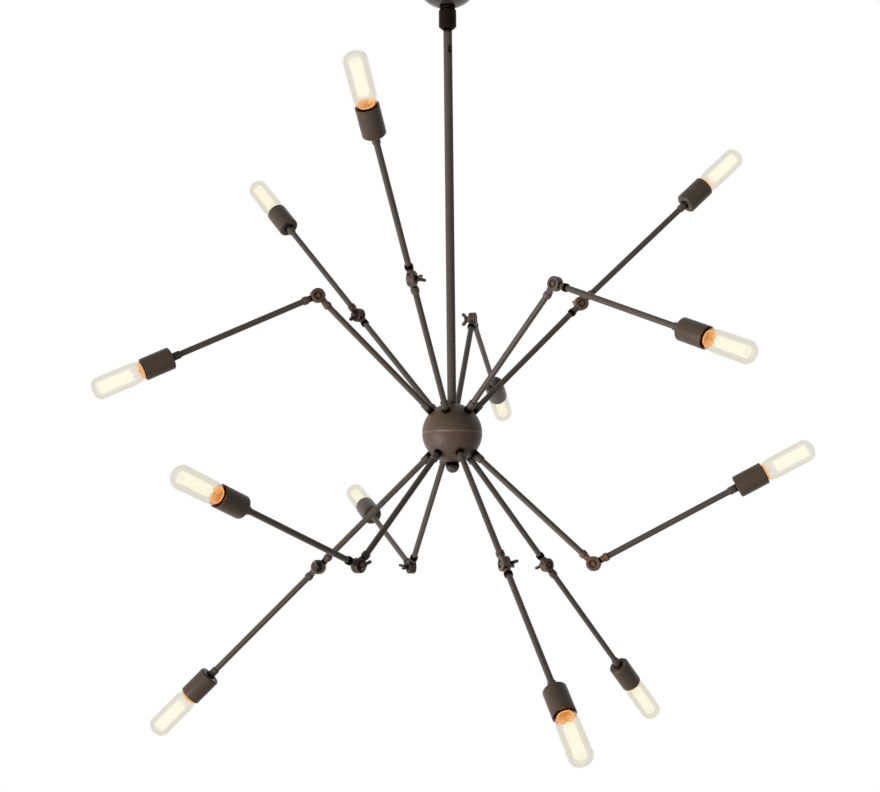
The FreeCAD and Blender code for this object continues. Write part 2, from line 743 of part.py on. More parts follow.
# Small fastenings of the stem and the bracket
stem_nut_blank = hex_nut("stem_nut_blank_nut", "bar_nut_radius", "bar_nut_height + 2",
                         "stem_radius")
placed(stem_nut_blank, "placement(vector(0; 0; -dims.drop + dims.ball_radius - dims.ball_wall -"
                       " dims.bar_nut_height - 1); rotation(0; 0; 0))")
stem_nut_limit = doc.addObject("Part::Sphere", "stem_nut_limit")
stem_nut_limit.setExpression("Radius", formula("ball_radius - ball_wall"))
placed(stem_nut_limit, "placement(%s; %s)" % (ball_middle, upright))
stem_nut = doc.addObject("Part::Common", "stem_nut")
stem_nut.Base = stem_nut_blank
stem_nut.Tool = stem_nut_limit
bar_nut = hex_nut("bar_nut", "bar_nut_radius", "bar_nut_height", "nipple_radius")
placed(bar_nut, "placement(vector(0; 0; -dims.bar_thick - dims.bar_nut_height);"
                " rotation(0; 0; 0))")
canopy_nut = hex_nut("canopy_nut", "bar_nut_radius", "bar_nut_height", "nipple_radius")
placed(canopy_nut, "placement(vector(0; 0; -dims.canopy_height + dims.canopy_wall);"
                   " rotation(0; 0; 0))")
set_screw = cylinder("stem_screw", "screw_radius", "stem_radius - screw_inner - screw_sink")
placed(set_screw, "placement(vector(dims.screw_inner * cos(60 deg); -dims.screw_inner * sin(60 deg);"
                  " -dims.canopy_height - dims.collar_length - dims.screw_below_collar);"
                  " rotation(-60; 90; 0))")

# The twelve arms. Each wing screw has been left at its own turn, and is on the side towards the
# next arm, but one is turned round.
wing_turns = {"upper": (32, 68, 74, 134, 125, 0), "lower": (112, 20, 104, 118, 47, 172)}
arms = []
for ring, elevation, turn in (("upper", "dims.upper_rise", "dims.upper_turn"),
                              ("lower", "-dims.lower_rise", "dims.lower_turn")):
    for number, word in enumerate(arm_words):
        fold_name = "fold_%s_%s" % (ring, word)
        fold = "dims." + fold_name if fold_name in driving else "0"
        side = -1 if (ring, word) == ("upper", "six") else 1
        arms.append({
            "name": "%s_%d" % (ring, number + 1),
            "azimuth": "(%s + %d + dims.trim_%s_%s)" % (turn, arm_spacing * number, ring, word),
            "elevation": "(%s)" % elevation,
            "outer": "(%s %s %s)" % (elevation, "-" if ring == "upper" else "+", fold),
            "side": side,
            "wing_turn": wing_turns[ring][number],
        })

inner_pieces = []
eye_pieces = []
lead_pieces = []
nut_pieces = []
outer_nodes = []
for arm in arms:
    knuckle = ("vector(dims.arm_reach * cos({e} * 1 deg) * sin({a} * 1 deg);"
               " -dims.arm_reach * cos({e} * 1 deg) * cos({a} * 1 deg);"
               " -dims.drop + dims.arm_reach * sin({e} * 1 deg))"
               ).format(e=arm["elevation"], a=arm["azimuth"])
    side = arm["side"]
    inward = "placement(%s; rotation(%s + %d; %d * (90 + %s); 0))" % (
        knuckle, arm["azimuth"], 180 - 90 * side, side, arm["elevation"])
    outward = "placement(%s; rotation(%s + %d; %d * (90 - %s); 0))" % (
        knuckle, arm["azimuth"], 360 - 90 * side, side, arm["outer"])
    screwed = "placement(%s; rotation(%s + %d; %d * (90 - %s) + %d; 0))" % (
        knuckle, arm["azimuth"], 360 - 90 * side, side, arm["elevation"], arm["wing_turn"])
    for kind, pieces, store in (("inner_arm", [inner_tube, ball_ferrule], inner_pieces),
                                ("fixed_eye", [eye], eye_pieces),
                                ("lead", [lead], lead_pieces),
                                ("nut", [arm_nut], nut_pieces)):
        made = group("%s_%s" % (kind, arm["name"]), pieces)
        placed(made, inward)
        store.append(made)
    for kind, pieces, place in (
            ("outer_arm", [eye, outer_tube, cup_ferrule], outward),
            ("socket_cup", [cup, cup_nut, holder, contact], outward),
            ("bulb", [lamp_glass, lamp_cap, lamp_mount, lamp_filament], outward),
            ("wing_screw", [wing], screwed)):
        made = group("%s_%s" % (kind, arm["name"]), pieces)
        placed(made, place)
        outer_nodes.append(made)

inner_arms = group("inner_arms", inner_pieces)
knuckle_bases = group("knuckle_bases", eye_pieces)
wiring = group("wiring", [block, cable] + lead_pieces)
fasteners = group("fasteners", nut_pieces + [stem_nut, bar_nut, canopy_nut])
stem = group("stem", [stem_tube, set_screw])
doc.recompute()

nodes = [bracket, canopy, nipple, collar, stem, hub_upper, hub_lower, finial, inner_arms,
         knuckle_bases, wiring, fasteners] + outer_nodes

for piece in doc.Objects:
    if "Invalid" in piece.State or "Error" in piece.State:
        raise RuntimeError("failed: %s %s" % (piece.Name, piece.State))
for node in nodes:
    if node.Shape.isNull() or not node.Shape.isValid() or not node.Shape.Solids:
        raise RuntimeError("bad shape: %s" % node.Label)

os.makedirs("parts", exist_ok=True)
for node in nodes:
    node.Shape.exportStep("parts/%s.step" % node.Label)
print(len(nodes), "nodes", sum(len(node.Shape.Solids) for node in nodes), "solids")
whole = FreeCAD.BoundBox()
for node in nodes:
    whole.add(node.Shape.BoundBox)
print(whole)
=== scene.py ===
import bmesh
import bpy
import json
import math
from mathutils import Matrix, Vector


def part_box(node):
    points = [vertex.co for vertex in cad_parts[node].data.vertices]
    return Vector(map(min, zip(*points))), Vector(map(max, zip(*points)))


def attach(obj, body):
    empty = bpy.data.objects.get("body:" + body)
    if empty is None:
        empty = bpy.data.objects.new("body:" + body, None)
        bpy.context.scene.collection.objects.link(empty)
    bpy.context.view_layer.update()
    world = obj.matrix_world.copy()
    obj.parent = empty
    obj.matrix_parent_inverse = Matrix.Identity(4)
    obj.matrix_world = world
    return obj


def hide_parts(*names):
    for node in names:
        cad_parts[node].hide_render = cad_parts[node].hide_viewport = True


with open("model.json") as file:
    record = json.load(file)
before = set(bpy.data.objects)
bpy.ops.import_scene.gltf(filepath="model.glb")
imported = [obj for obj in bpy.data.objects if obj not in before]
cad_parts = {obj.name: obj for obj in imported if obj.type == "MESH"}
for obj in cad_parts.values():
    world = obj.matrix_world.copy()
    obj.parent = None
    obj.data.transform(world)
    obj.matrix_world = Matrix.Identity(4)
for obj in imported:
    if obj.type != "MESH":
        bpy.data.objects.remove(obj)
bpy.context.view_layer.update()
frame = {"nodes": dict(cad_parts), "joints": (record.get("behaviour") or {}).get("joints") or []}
mm = 0.001
sharp_edge = math.radians(38)


# Ceiling bracket
# A flat bar stamped from zinc plated steel strip, slotted at both ends for the screws of the
# ceiling box and tapped in the middle. It lies against the ceiling, hidden by the canopy.
def feed(tree, node, *ordered, **named):
    # a shader node's inputs, each a value or another node's output
    sockets = list(zip(node.inputs, ordered))
    sockets += [(node.inputs[name.replace("_", " ")], value) for name, value in named.items()]
    for socket, value in sockets:
        if isinstance(value, bpy.types.NodeSocket):
            tree.links.new(value, socket)
        else:
            socket.default_value = value


def add(tree, kind, settings, *ordered, **named):
    # one shader node: its settings, then its inputs
    made = tree.nodes.new(kind)
    for name, value in settings.items():
        setattr(made, name, value)
    feed(tree, made, *ordered, **named)
    return made


def height_on(tree):
    # the height on a piece, along its own Z
    place = add(tree, "ShaderNodeTexCoord", {}).outputs["Object"]
    return add(tree, "ShaderNodeSeparateXYZ", {}, place).outputs["Z"]


def effect(name, inputs, outputs):
    # an empty shader node group, with the ends that its nodes are joined to
    group = bpy.data.node_groups.new(name, "ShaderNodeTree")
    for label, kind in inputs:
        group.interface.new_socket(label, in_out="INPUT", socket_type="NodeSocket" + kind)
    for label, kind in outputs:
        group.interface.new_socket(label, in_out="OUTPUT", socket_type="NodeSocket" + kind)
    given = group.nodes.new("NodeGroupInput").outputs
    result = group.nodes.new("NodeGroupOutput").inputs
    return group, given, result


def finish(name):
    # a material with only its principled shader, joined to the output
    material = bpy.data.materials.new(name)
    material.use_nodes = True
    tree = material.node_tree
    return material, tree, tree.nodes["Principled BSDF"]


# Spangle: the patchy crystals of a plated coat, as a colour and a roughness
spangle, given, result = effect(
    "spangle",
    [("Size", "Float"), ("Bright", "Color"), ("Dull", "Color")],
    [("Color", "Color"), ("Roughness", "Float")])
place = add(spangle, "ShaderNodeTexCoord", {}).outputs["Object"]
crystal = add(spangle, "ShaderNodeTexVoronoi", {}, Vector=place, Scale=given["Size"])
scratch = add(spangle, "ShaderNodeTexNoise", {}, Vector=place, Scale=given["Size"], Detail=6.0)
patch = add(spangle, "ShaderNodeMath", {"operation": "ADD"},
            crystal.outputs["Distance"], scratch.outputs["Fac"]).outputs[0]
share = add(spangle, "ShaderNodeMapRange", {}, Value=patch, From_Min=0.5, From_Max=1.3).outputs[0]
tone = add(spangle, "ShaderNodeMixRGB", {}, share, given["Bright"], given["Dull"])
rough = add(spangle, "ShaderNodeMapRange", {}, Value=share, To_Min=0.28, To_Max=0.5)
spangle.links.new(tone.outputs[0], result["Color"])
spangle.links.new(rough.outputs[0], result["Roughness"])


def coated(name, size, bright, dull, **others):
    # a material with a spangled coat, and its shader's other inputs
    material, tree, shader = finish(name)
    coat = add(tree, "ShaderNodeGroup", {"node_tree": spangle}, Size=size,
               Bright=(*bright, 1.0), Dull=(*dull, 1.0))
    feed(tree, shader, Base_Color=coat.outputs["Color"], Roughness=coat.outputs["Roughness"], **others)
    return material


zinc = coated("zinc_plate", 220.0, (0.62, 0.63, 0.62), (0.36, 0.36, 0.35), Metallic=1.0)


def refinish(node, material):
    # a CAD node that stays as it is, under a better finish
    kept = frame["nodes"][node]
    kept.data.materials.clear()
    kept.data.materials.append(material)


refinish("ceiling_bracket", zinc)

soot = coated("soot_black", 700.0, (0.012, 0.009, 0.008), (0.004, 0.003, 0.003),
              Specular_IOR_Level=0.2)


# Canopy
# A bell spun from thin brass sheet and blackened, with a rolled rim that meets the ceiling.
# The collar below holds it up against the ceiling on the nipple.
def bow(start, end, radius, side, steps):
    # points of an arc between two corners, bulging right of the way along for a side of 1
    start, end = Vector(start), Vector(end)
    chord = end - start
    right = Vector((chord.y, -chord.x)).normalized()
    height = math.sqrt(radius * radius - chord.length_squared / 4)
    centre = (start + end) / 2 - right * height * side
    arm = start - centre
    sweep = 2 * math.asin(chord.length / 2 / radius) * side
    turns = [Matrix.Rotation(sweep * step / steps, 2) for step in range(1, steps)]
    return [start] + [centre + turn @ arm for turn in turns] + [end]


def walled(points, wall):
    # the closed section of a sheet: the points, and back again one wall to their left
    back = []
    for index, point in enumerate(points):
        before = points[max(index - 1, 0)]
        after = points[min(index + 1, len(points) - 1)]
        along = (Vector(after) - Vector(before)).normalized()
        back.append(Vector(point) + Vector((-along.y, along.x)) * wall)
    return [Vector(point) for point in points] + back[::-1]


def turned(shell, section, around=64, pitch=1.0, material=0, turn=Matrix()):
    # a closed section of (radius, height) points turned about Z; a third entry is the depth of
    # a screw thread of that pitch
    rings = []
    for point in section:
        depth = point[2] if len(point) == 3 else 0.0
        steps = 1 if point[0] < 1e-9 else around
        ring = []
        for step in range(steps):
            angle = 2 * math.pi * step / around
            cut = depth * (0.5 + 0.5 * math.cos(2 * math.pi * point[1] / pitch - angle))
            ring.append(shell.verts.new(turn @ Vector((
                (point[0] - cut) * math.cos(angle), (point[0] - cut) * math.sin(angle), point[1]))))
        rings.append(ring)
    made = []
    for first, second in zip(rings, rings[1:] + rings[:1]):
        for step in range(around):
            corners = [first[step % len(first)], first[(step + 1) % around % len(first)],
                       second[(step + 1) % around % len(second)], second[step % len(second)]]
            corners = list(dict.fromkeys(corners))
            if len(corners) > 2:
                made.append(shell.faces.new(corners))
    for face in made:
        face.material_index = material
    return made


def smooth(data):
    # a mesh smooth but for its sharp edges
    data.shade_smooth()
    data.set_sharp_from_angle(angle=sharp_edge)
    return data


def mesh_from(shell, name, *materials):
    # the smooth mesh of a finished shell
    bmesh.ops.recalc_face_normals(shell, faces=shell.faces)
    data = bpy.data.meshes.new(name)
    shell.to_mesh(data)
    shell.free()
    for material in materials:
        data.materials.append(material)
    return smooth(data)


def fitted(name, data, body, slot, *replaced, seat=Matrix()):
    # a piece in its place on a body, standing for CAD nodes
    piece = bpy.data.objects.new(name, data)
    bpy.context.scene.collection.objects.link(piece)
    piece.matrix_world = seat
    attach(piece, body)
    if replaced:
        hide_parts(*replaced)
    return piece


# Rubbed bronze: a dark brown patina with warmer clouds, a coppery rub along edges, and painted
# shade that blackens the crevices and dims their reflection
rubbed, given, result = effect(
    "rubbed_bronze",
    [("Dark", "Color"), ("Warm", "Color"), ("Rub", "Color"), ("Cloud", "Float"),
     ("Edge", "Float"), ("Gloss", "Float"), ("Grime", "Float")],
    [("Color", "Color"), ("Roughness", "Float"), ("Height", "Float"), ("Shine", "Float")])
place = add(rubbed, "ShaderNodeTexCoord", {}).outputs["Object"]
shift = add(rubbed, "ShaderNodeObjectInfo", {}).outputs["Random"]
place = add(rubbed, "ShaderNodeVectorMath", {"operation": "ADD"}, place, shift).outputs[0]
cloud = add(rubbed, "ShaderNodeTexNoise", {}, Vector=place, Scale=given["Cloud"], Detail=3.0)
fine = add(rubbed, "ShaderNodeMath", {"operation": "MULTIPLY"}, given["Cloud"], 16.0).outputs[0]
speck = add(rubbed, "ShaderNodeTexNoise", {}, Vector=place, Scale=fine, Detail=2.0).outputs["Fac"]
warmth = add(rubbed, "ShaderNodeMapRange", {}, Value=cloud.outputs["Fac"],
             From_Min=0.44, From_Max=0.66).outputs[0]
tone = add(rubbed, "ShaderNodeMixRGB", {}, warmth, given["Dark"], given["Warm"]).outputs[0]
dust = add(rubbed, "ShaderNodeMapRange", {}, Value=speck,
           From_Min=0.25, From_Max=0.75, To_Min=0.72, To_Max=1.28).outputs[0]
tone = add(rubbed, "ShaderNodeVectorMath", {"operation": "SCALE"}, tone, Scale=dust).outputs[0]
plain = add(rubbed, "ShaderNodeNewGeometry", {}).outputs["Normal"]
softened = add(rubbed, "ShaderNodeBevel", {"samples": 4}, Radius=given["Edge"]).outputs[0]
likeness = add(rubbed, "ShaderNodeVectorMath", {"operation": "DOT_PRODUCT"},
               plain, softened).outputs["Value"]
edge = add(rubbed, "ShaderNodeMapRange", {}, Value=likeness,
           From_Min=0.985, From_Max=0.86, To_Max=0.8).outputs[0]
broken = add(rubbed, "ShaderNodeMath", {"operation": "MULTIPLY"}, edge, dust).outputs[0]
tone = add(rubbed, "ShaderNodeMixRGB", {"use_clamp": True}, broken, tone, given["Rub"]).outputs[0]
# painted shade: where ambient occlusion finds a crevice the colour darkens, and the reflection with it
crevice = add(rubbed, "ShaderNodeAmbientOcclusion", {"samples": 8}, Distance=7 * mm).outputs["AO"]
crevice_shade = add(rubbed, "ShaderNodeMapRange", {}, Value=crevice,
            From_Min=0.5, From_Max=0.9, To_Min=given["Grime"], To_Max=1.0).outputs[0]
tone = add(rubbed, "ShaderNodeVectorMath", {"operation": "SCALE"}, tone, Scale=crevice_shade).outputs[0]
uneven = add(rubbed, "ShaderNodeMapRange", {}, Value=speck,
             From_Min=0.3, From_Max=0.7, To_Min=-0.06, To_Max=0.08).outputs[0]
rough = add(rubbed, "ShaderNodeMath", {"operation": "ADD"}, given["Gloss"], uneven).outputs[0]
shine = add(rubbed, "ShaderNodeMath", {"operation": "MULTIPLY"}, crevice_shade, 0.5).outputs[0]
for label, value in (("Color", tone), ("Roughness", rough), ("Height", speck), ("Shine", shine)):
    rubbed.links.new(value, result[label])

# Tool marks: fine lines round a turned piece or along a drawn one, as a height
marks, given, result = effect(
    "tool_marks", [("Across", "Float"), ("Along", "Float")], [("Height", "Float")])
place = add(marks, "ShaderNodeTexCoord", {}).outputs["Object"]
spacing = add(marks, "ShaderNodeCombineXYZ", {}, given["Across"], given["Across"], given["Along"])
place = add(marks, "ShaderNodeVectorMath", {"operation": "MULTIPLY"},
            place, spacing.outputs[0]).outputs[0]
line = add(marks, "ShaderNodeTexNoise", {}, Vector=place, Scale=1.0, Detail=2.0)
marks.links.new(line.outputs["Fac"], result["Height"])


def bronze(name, dark, warm, rub, cloud, edge, gloss, across, along, depth, lacquer=1.3,
           crevice_shade=0.03, dark_band=None, shade_spot=None):
    # one bronze finish: its patina colours, cloud scale, worn edge, gloss, tool marks and lacquer,
    # what painted shade leaves of the colour in its crevices, the two heights on the piece between
    # which a black band fades out, and the middle and half sizes of a black spot of painted shade
    material, tree, shader = finish(name)
    skin = add(tree, "ShaderNodeGroup", {"node_tree": rubbed}, Dark=(*dark, 1.0), Warm=(*warm, 1.0),
               Rub=(*rub, 1.0), Cloud=cloud, Edge=edge, Gloss=gloss, Grime=crevice_shade)
    lines = add(tree, "ShaderNodeGroup", {"node_tree": marks}, Across=across, Along=along)
    height = add(tree, "ShaderNodeMath", {"operation": "ADD"},
                 skin.outputs["Height"], lines.outputs["Height"]).outputs[0]
    bump = add(tree, "ShaderNodeBump", {}, Strength=0.35, Distance=depth, Height=height)
    tone, shine = skin.outputs["Color"], skin.outputs["Shine"]
    veils = []
    if dark_band:
        veils.append((height_on(tree), *dark_band))
    if shade_spot:
        spot = add(tree, "ShaderNodeTexCoord", {}).outputs["Object"]
        away = add(tree, "ShaderNodeVectorMath", {"operation": "SUBTRACT"}, spot, shade_spot[0]).outputs[0]
        away = add(tree, "ShaderNodeVectorMath", {"operation": "DIVIDE"}, away, shade_spot[1]).outputs[0]
        away = add(tree, "ShaderNodeVectorMath", {"operation": "LENGTH"}, away).outputs["Value"]
        veils.append((away, 0.6, 1.0))
    # the black band and the black spot darken the colour and dim the reflection
    for value, black, bare in veils:
        clear = add(tree, "ShaderNodeMapRange", {"interpolation_type": "SMOOTHSTEP"}, Value=value,
                    From_Min=black, From_Max=bare, To_Min=0.04).outputs[0]
        tone = add(tree, "ShaderNodeVectorMath", {"operation": "SCALE"}, tone, Scale=clear).outputs[0]
        shine = add(tree, "ShaderNodeMath", {"operation": "MULTIPLY"}, shine, clear).outputs[0]
    feed(tree, shader, Base_Color=tone, Specular_IOR_Level=shine, Roughness=skin.outputs["Roughness"],
         Normal=bump.outputs["Normal"], IOR=lacquer)
    return material


spun_bronze = bronze(
    "spun_bronze", dark=(0.045, 0.034, 0.027), warm=(0.052, 0.035, 0.026), rub=(0.3, 0.2, 0.16),
    cloud=38.0, edge=0.8 * mm, gloss=0.16, across=30.0, along=2600.0, depth=0.01 * mm,
    lacquer=1.5)

canopy_low, canopy_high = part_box("canopy")
canopy_wall = 1.2 * mm
canopy_hole = 5.0 * mm
canopy_flat = 10.5 * mm
canopy_bowl = 32.0 * mm
canopy_waist = (29.5 * mm, 14.0 * mm)
canopy_flare = 33.0 * mm
canopy_rim = 58.0 * mm
canopy_height = canopy_high.z - canopy_low.z
rim_roll = 1.7 * mm
rim_bulge = 90.0 * mm
rim_foot = (canopy_rim - rim_roll, canopy_height - 7.2 * mm)
profile = [(canopy_hole, 0.0)]
profile += bow((canopy_flat, 0.0), canopy_waist, canopy_bowl, 1, 24)
profile += bow(canopy_waist, rim_foot, canopy_flare, -1, 20)[1:]
profile += bow((canopy_rim, rim_foot[1] + rim_roll), (canopy_rim, canopy_height - 1.0 * mm),
               rim_bulge, 1, 4)
profile += [(canopy_rim - 0.2 * mm, canopy_height)]
shell = bmesh.new()
turned(shell, walled(profile, canopy_wall), around=128)
fitted("canopy_bell", mesh_from(shell, "canopy_bell", spun_bronze), "frame", "dark_bronze",
       "canopy", seat=Matrix.Translation((0, 0, canopy_low.z)))


# Canopy nipple
# A hollow brass rod threaded all along. It screws into the bracket, carries the whole light
# and lets the supply cable through.
brass = coated("lamp_brass", 500.0, (0.72, 0.52, 0.25), (0.5, 0.33, 0.14), Metallic=1.0)


def threaded(crest, depth, bore, low, high, pitch):
    # the section of a threaded tube, eight rows to each turn, with the thread run out at the ends
    rows = round((high - low) / pitch * 8)
    outside = []
    for row in range(rows + 1):
        full = 1.0 if 4 < row < rows - 4 else 0.0
        outside.append((crest, low + (high - low) * row / rows, depth * full))
    return outside + [(bore, high), (bore, low)]


nipple_low, nipple_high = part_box("canopy_nipple")
nipple_radius = 5.0 * mm
nipple_bore = 3.4 * mm
nipple_pitch = 1.0 * mm
nipple_thread = 0.55 * mm
shell = bmesh.new()
turned(shell, threaded(nipple_radius, nipple_thread, nipple_bore, nipple_low.z, nipple_high.z,
                       nipple_pitch), around=40, pitch=nipple_pitch)
fitted("threaded_nipple", mesh_from(shell, "threaded_nipple", brass), "frame", "zinc_steel",
       "canopy_nipple")


# Canopy collar
# A thick sleeve turned from bar, with a grooved neck against the canopy and a bevelled foot
# round the stem. It screws up the nipple and clamps the canopy.
def rounded(corners, steps=5):
    # a closed outline of (across, along, rounding) corners as points, with the corners eased
    points = []
    for index, (across, along, rounding) in enumerate(corners):
        here = Vector((across, along))
        if not rounding:
            points.append(here)
            continue
        before = (Vector(corners[index - 1][:2]) - here).normalized()
        after = (Vector(corners[(index + 1) % len(corners)][:2]) - here).normalized()
        half = before.angle(after) / 2
        reach = rounding / math.tan(half)
        side = 1 if before.x * after.y - before.y * after.x < 0 else -1
        points += bow(here + before * reach, here + after * reach, rounding, side, steps)
    return points


turned_bronze = bronze(
    "turned_bronze", dark=(0.012, 0.008, 0.006), warm=(0.018, 0.01, 0.007), rub=(0.09, 0.07, 0.06),
    cloud=60.0, edge=0.6 * mm, gloss=0.36, across=40.0, along=3200.0, depth=0.03 * mm,
    lacquer=1.12)

collar_low, collar_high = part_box("canopy_collar")
collar_length = collar_high.z - collar_low.z
stem_radius = 4.7625 * mm
collar_radius = 9.5 * mm
collar_bevel = 2.4 * mm
groove_radius = 7.2 * mm
groove_foot = collar_length - 5.0 * mm
groove_head = collar_length - 3.6 * mm
neck_radius = 8.3 * mm
ease = 0.4 * mm
shell = bmesh.new()
turned(shell, rounded([
    (stem_radius, 0.0, 0.0),
    (collar_radius - collar_bevel, 0.0, ease),
    (collar_radius, collar_bevel, ease),
    (collar_radius, groove_foot, ease),
    (groove_radius, groove_foot, 0.0),
    (groove_radius, groove_head, 0.0),
    (neck_radius, groove_head, ease),
    (neck_radius, collar_length, ease),
    (stem_radius, collar_length, 0.0),
]))
fitted("canopy_collar_sleeve", mesh_from(shell, "canopy_collar_sleeve", turned_bronze), "frame",
       "dark_bronze", "canopy_collar", seat=Matrix.Translation((0, 0, collar_low.z)))


# Stem
# A straight drawn tube that hangs the ball from the collar. A small hole near its top takes
# the set screw that keeps it from turning.
def combined(first, second, operation):
    # two meshes as one skin: joined by UNION, or the first less the second by DIFFERENCE
    body = bpy.data.objects.new("body", first)
    tool = bpy.data.objects.new("tool", second)
    for made in (body, tool):
        bpy.context.scene.collection.objects.link(made)
    boolean = body.modifiers.new("combine", "BOOLEAN")
    boolean.object = tool
    boolean.operation = operation
    boolean.solver = "EXACT"
    result = bpy.data.meshes.new_from_object(
        body.evaluated_get(bpy.context.evaluated_depsgraph_get()))
    for made in (body, tool):
        bpy.data.objects.remove(made)
    return smooth(result)


drawn = {"dark": (0.092, 0.074, 0.06), "warm": (0.104, 0.078, 0.06), "rub": (0.28, 0.22, 0.18),
         "cloud": 46.0, "edge": 0.5 * mm, "gloss": 0.38, "across": 2400.0, "along": 14.0,
         "depth": 0.02 * mm}
drawn_bronze = bronze("drawn_bronze", **drawn)

stem_low, stem_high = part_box("stem")
stem_bore = 3.2 * mm
screw_drop = 22.0 * mm
screw_radius = 2.6 * mm
screw_azimuth = math.radians(30)
screw_way = Vector((math.sin(screw_azimuth), -math.cos(screw_azimuth), 0))
screw_middle = Vector((0, 0, collar_low.z - screw_drop))
# painted shade: the stem fades to black just below the collar, and a black spot round the set screw's
# hole makes the dark hole look larger
stem_painted_shade = (collar_low.z - 2.0 * mm, collar_low.z - 6.0 * mm)
screw_hole_shade = (screw_middle + screw_way * stem_radius - Vector((0, 0, 1.2 * mm)),
               (3.5 * mm, 3.5 * mm, 5.2 * mm))
stem_bronze = bronze("stem_bronze", **drawn, dark_band=stem_painted_shade, shade_spot=screw_hole_shade)
shell = bmesh.new()
turned(shell, [
    (stem_bore, stem_low.z),
    (stem_radius, stem_low.z),
    (stem_radius, stem_high.z),
    (stem_bore, stem_high.z),
])
tube = mesh_from(shell, "stem_tube", stem_bronze)
shell = bmesh.new()
screw_seat = Matrix.Translation(screw_middle) @ screw_way.to_track_quat("Z", "Y").to_matrix().to_4x4()
turned(shell, [(0.0, 0.0), (screw_radius, 0.0), (screw_radius, 2 * stem_radius),
               (0.0, 2 * stem_radius)], around=24, turn=screw_seat)
drilled = combined(tube, mesh_from(shell, "screw_drill"), "DIFFERENCE")
fitted("stem_tube", drilled, "frame", "dark_bronze", "stem")

# Set screw
# A headless steel screw with a hexagon socket, blackened, driven into the stem just below its
# surface.
screw_back = 2.6 * mm
screw_face = stem_radius - 0.9 * mm
socket_radius = 1.1 * mm
socket_depth = 0.45 * mm
shell = bmesh.new()
turned(shell, rounded([
    (0.0, screw_back, 0.0),
    (screw_radius, screw_back, 0.0),
    (screw_radius, screw_face, 0.15 * mm),
    (0.0, screw_face, 0.0),
]), around=24)
grub = mesh_from(shell, "set_screw", soot)
shell = bmesh.new()
turned(shell, [(0.0, screw_face - socket_depth), (socket_radius, screw_face - socket_depth),
               (socket_radius, screw_face + mm), (0.0, screw_face + mm)], around=6)
socketed = combined(grub, mesh_from(shell, "hexagon"), "DIFFERENCE")
fitted("set_screw", socketed, "frame", "dark_bronze", seat=screw_seat)


# Ball
# Two half shells spun from sheet and blackened. The lower half screws into the upper one at
# the middle, where the bevelled seam is lighter: rubbed metal with a painted highlight on it.
ball_bronze = bronze(
    "ball_bronze", dark=(0.11, 0.074, 0.05), warm=(0.13, 0.072, 0.048), rub=(0.42, 0.27, 0.22),
    cloud=30.0, edge=0.7 * mm, gloss=0.42, across=24.0, along=1800.0, depth=0.03 * mm)

ball_middle = Vector((0, 0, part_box("hub_upper")[0].z))
ball_radius = 31.75 * mm
ball_wall = 2.0 * mm
seam_bevel = 0.45 * mm
seam_band = 0.85 * mm
stud_hole = 2.5 * mm
tube_radius = 3.175 * mm
drill_low = 0.6 * ball_radius
drill_high = 1.2 * ball_radius
# the seam band's colour is rubbed lighter metal together with a painted highlight along the bevel
seam_rub_and_highlight = coated("seam_rub_and_highlight", 60.0, (0.3, 0.2, 0.17), (0.14, 0.09, 0.07))
joints = {joint["name"]: joint for joint in frame["joints"]}
halves = (("upper", stem_radius, 1), ("lower", stud_hole, -1))
for half, hole, way in halves:
    crown = (hole, math.sqrt(ball_radius ** 2 - hole ** 2))
    foot = (ball_radius - 0.1 * seam_bevel, seam_bevel)
    band_edge = (math.sqrt(ball_radius ** 2 - seam_band ** 2), seam_band)
    profile = [(ball_radius - seam_bevel, 0.0), foot] + bow(band_edge, crown, ball_radius, 1, 40)
    shell = bmesh.new()
    over = Matrix.Rotation(0 if way == 1 else math.pi, 4, "X")
    faces = turned(shell, walled(profile, ball_wall), around=128, turn=over)
    for face in faces:
        middle = face.calc_center_median()
        rim = math.hypot(middle.x, middle.y) > ball_radius - seam_bevel
        face.material_index = 1 if rim and abs(middle.z) < seam_band else 0
    drills = bmesh.new()
    for number in range(1, 7):
        pin = Vector(joints["knuckle_%s_%d" % (half, number)]["pos_m"])
        way_out = (pin - ball_middle).to_track_quat("Z", "Y").to_matrix().to_4x4()
        turned(drills, [(0.0, drill_low), (tube_radius, drill_low), (tube_radius, drill_high),
                        (0.0, drill_high)], around=24, turn=way_out)
    half_ball = combined(mesh_from(shell, "ball_" + half, ball_bronze, seam_rub_and_highlight),
                         mesh_from(drills, "arm_drills"), "DIFFERENCE")
    fitted("ball_" + half, half_ball, "frame", "dark_bronze", "hub_" + half,
           seat=Matrix.Translation(ball_middle))

# Finial
# A turned button with a short neck, screwed up into the bottom of the ball by its stud.
finial_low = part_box("finial")[0].z - ball_middle.z
finial_radius = 7.2 * mm
finial_neck = 6.8 * mm
button_height = finial_low + finial_radius
stud_end = -(ball_radius - 7.0 * mm)
seat_inner = (stud_hole, -math.sqrt(ball_radius ** 2 - stud_hole ** 2))
seat_outer = (finial_neck, -math.sqrt(ball_radius ** 2 - finial_neck ** 2))
shell = bmesh.new()
turned(shell, [(0.0, stud_end), (stud_hole, stud_end)]
       + bow(seat_inner, seat_outer, ball_radius, 1, 6)
       + [(finial_neck, button_height + 0.33 * finial_radius)]
       + bow((0.965 * finial_radius, button_height + 0.262 * finial_radius), (0.0, finial_low),
             finial_radius, -1, 18), around=64)
# painted shade: the neck fades to black up towards the ball
finial_painted_shade = (button_height + 2.0 * mm, finial_low + 3.0 * mm)
finial_bronze = bronze("finial_bronze", **drawn, dark_band=finial_painted_shade)
fitted("finial_button", mesh_from(shell, "finial_button", finial_bronze), "frame", "dark_bronze",
       "finial", seat=Matrix.Translation(ball_middle))


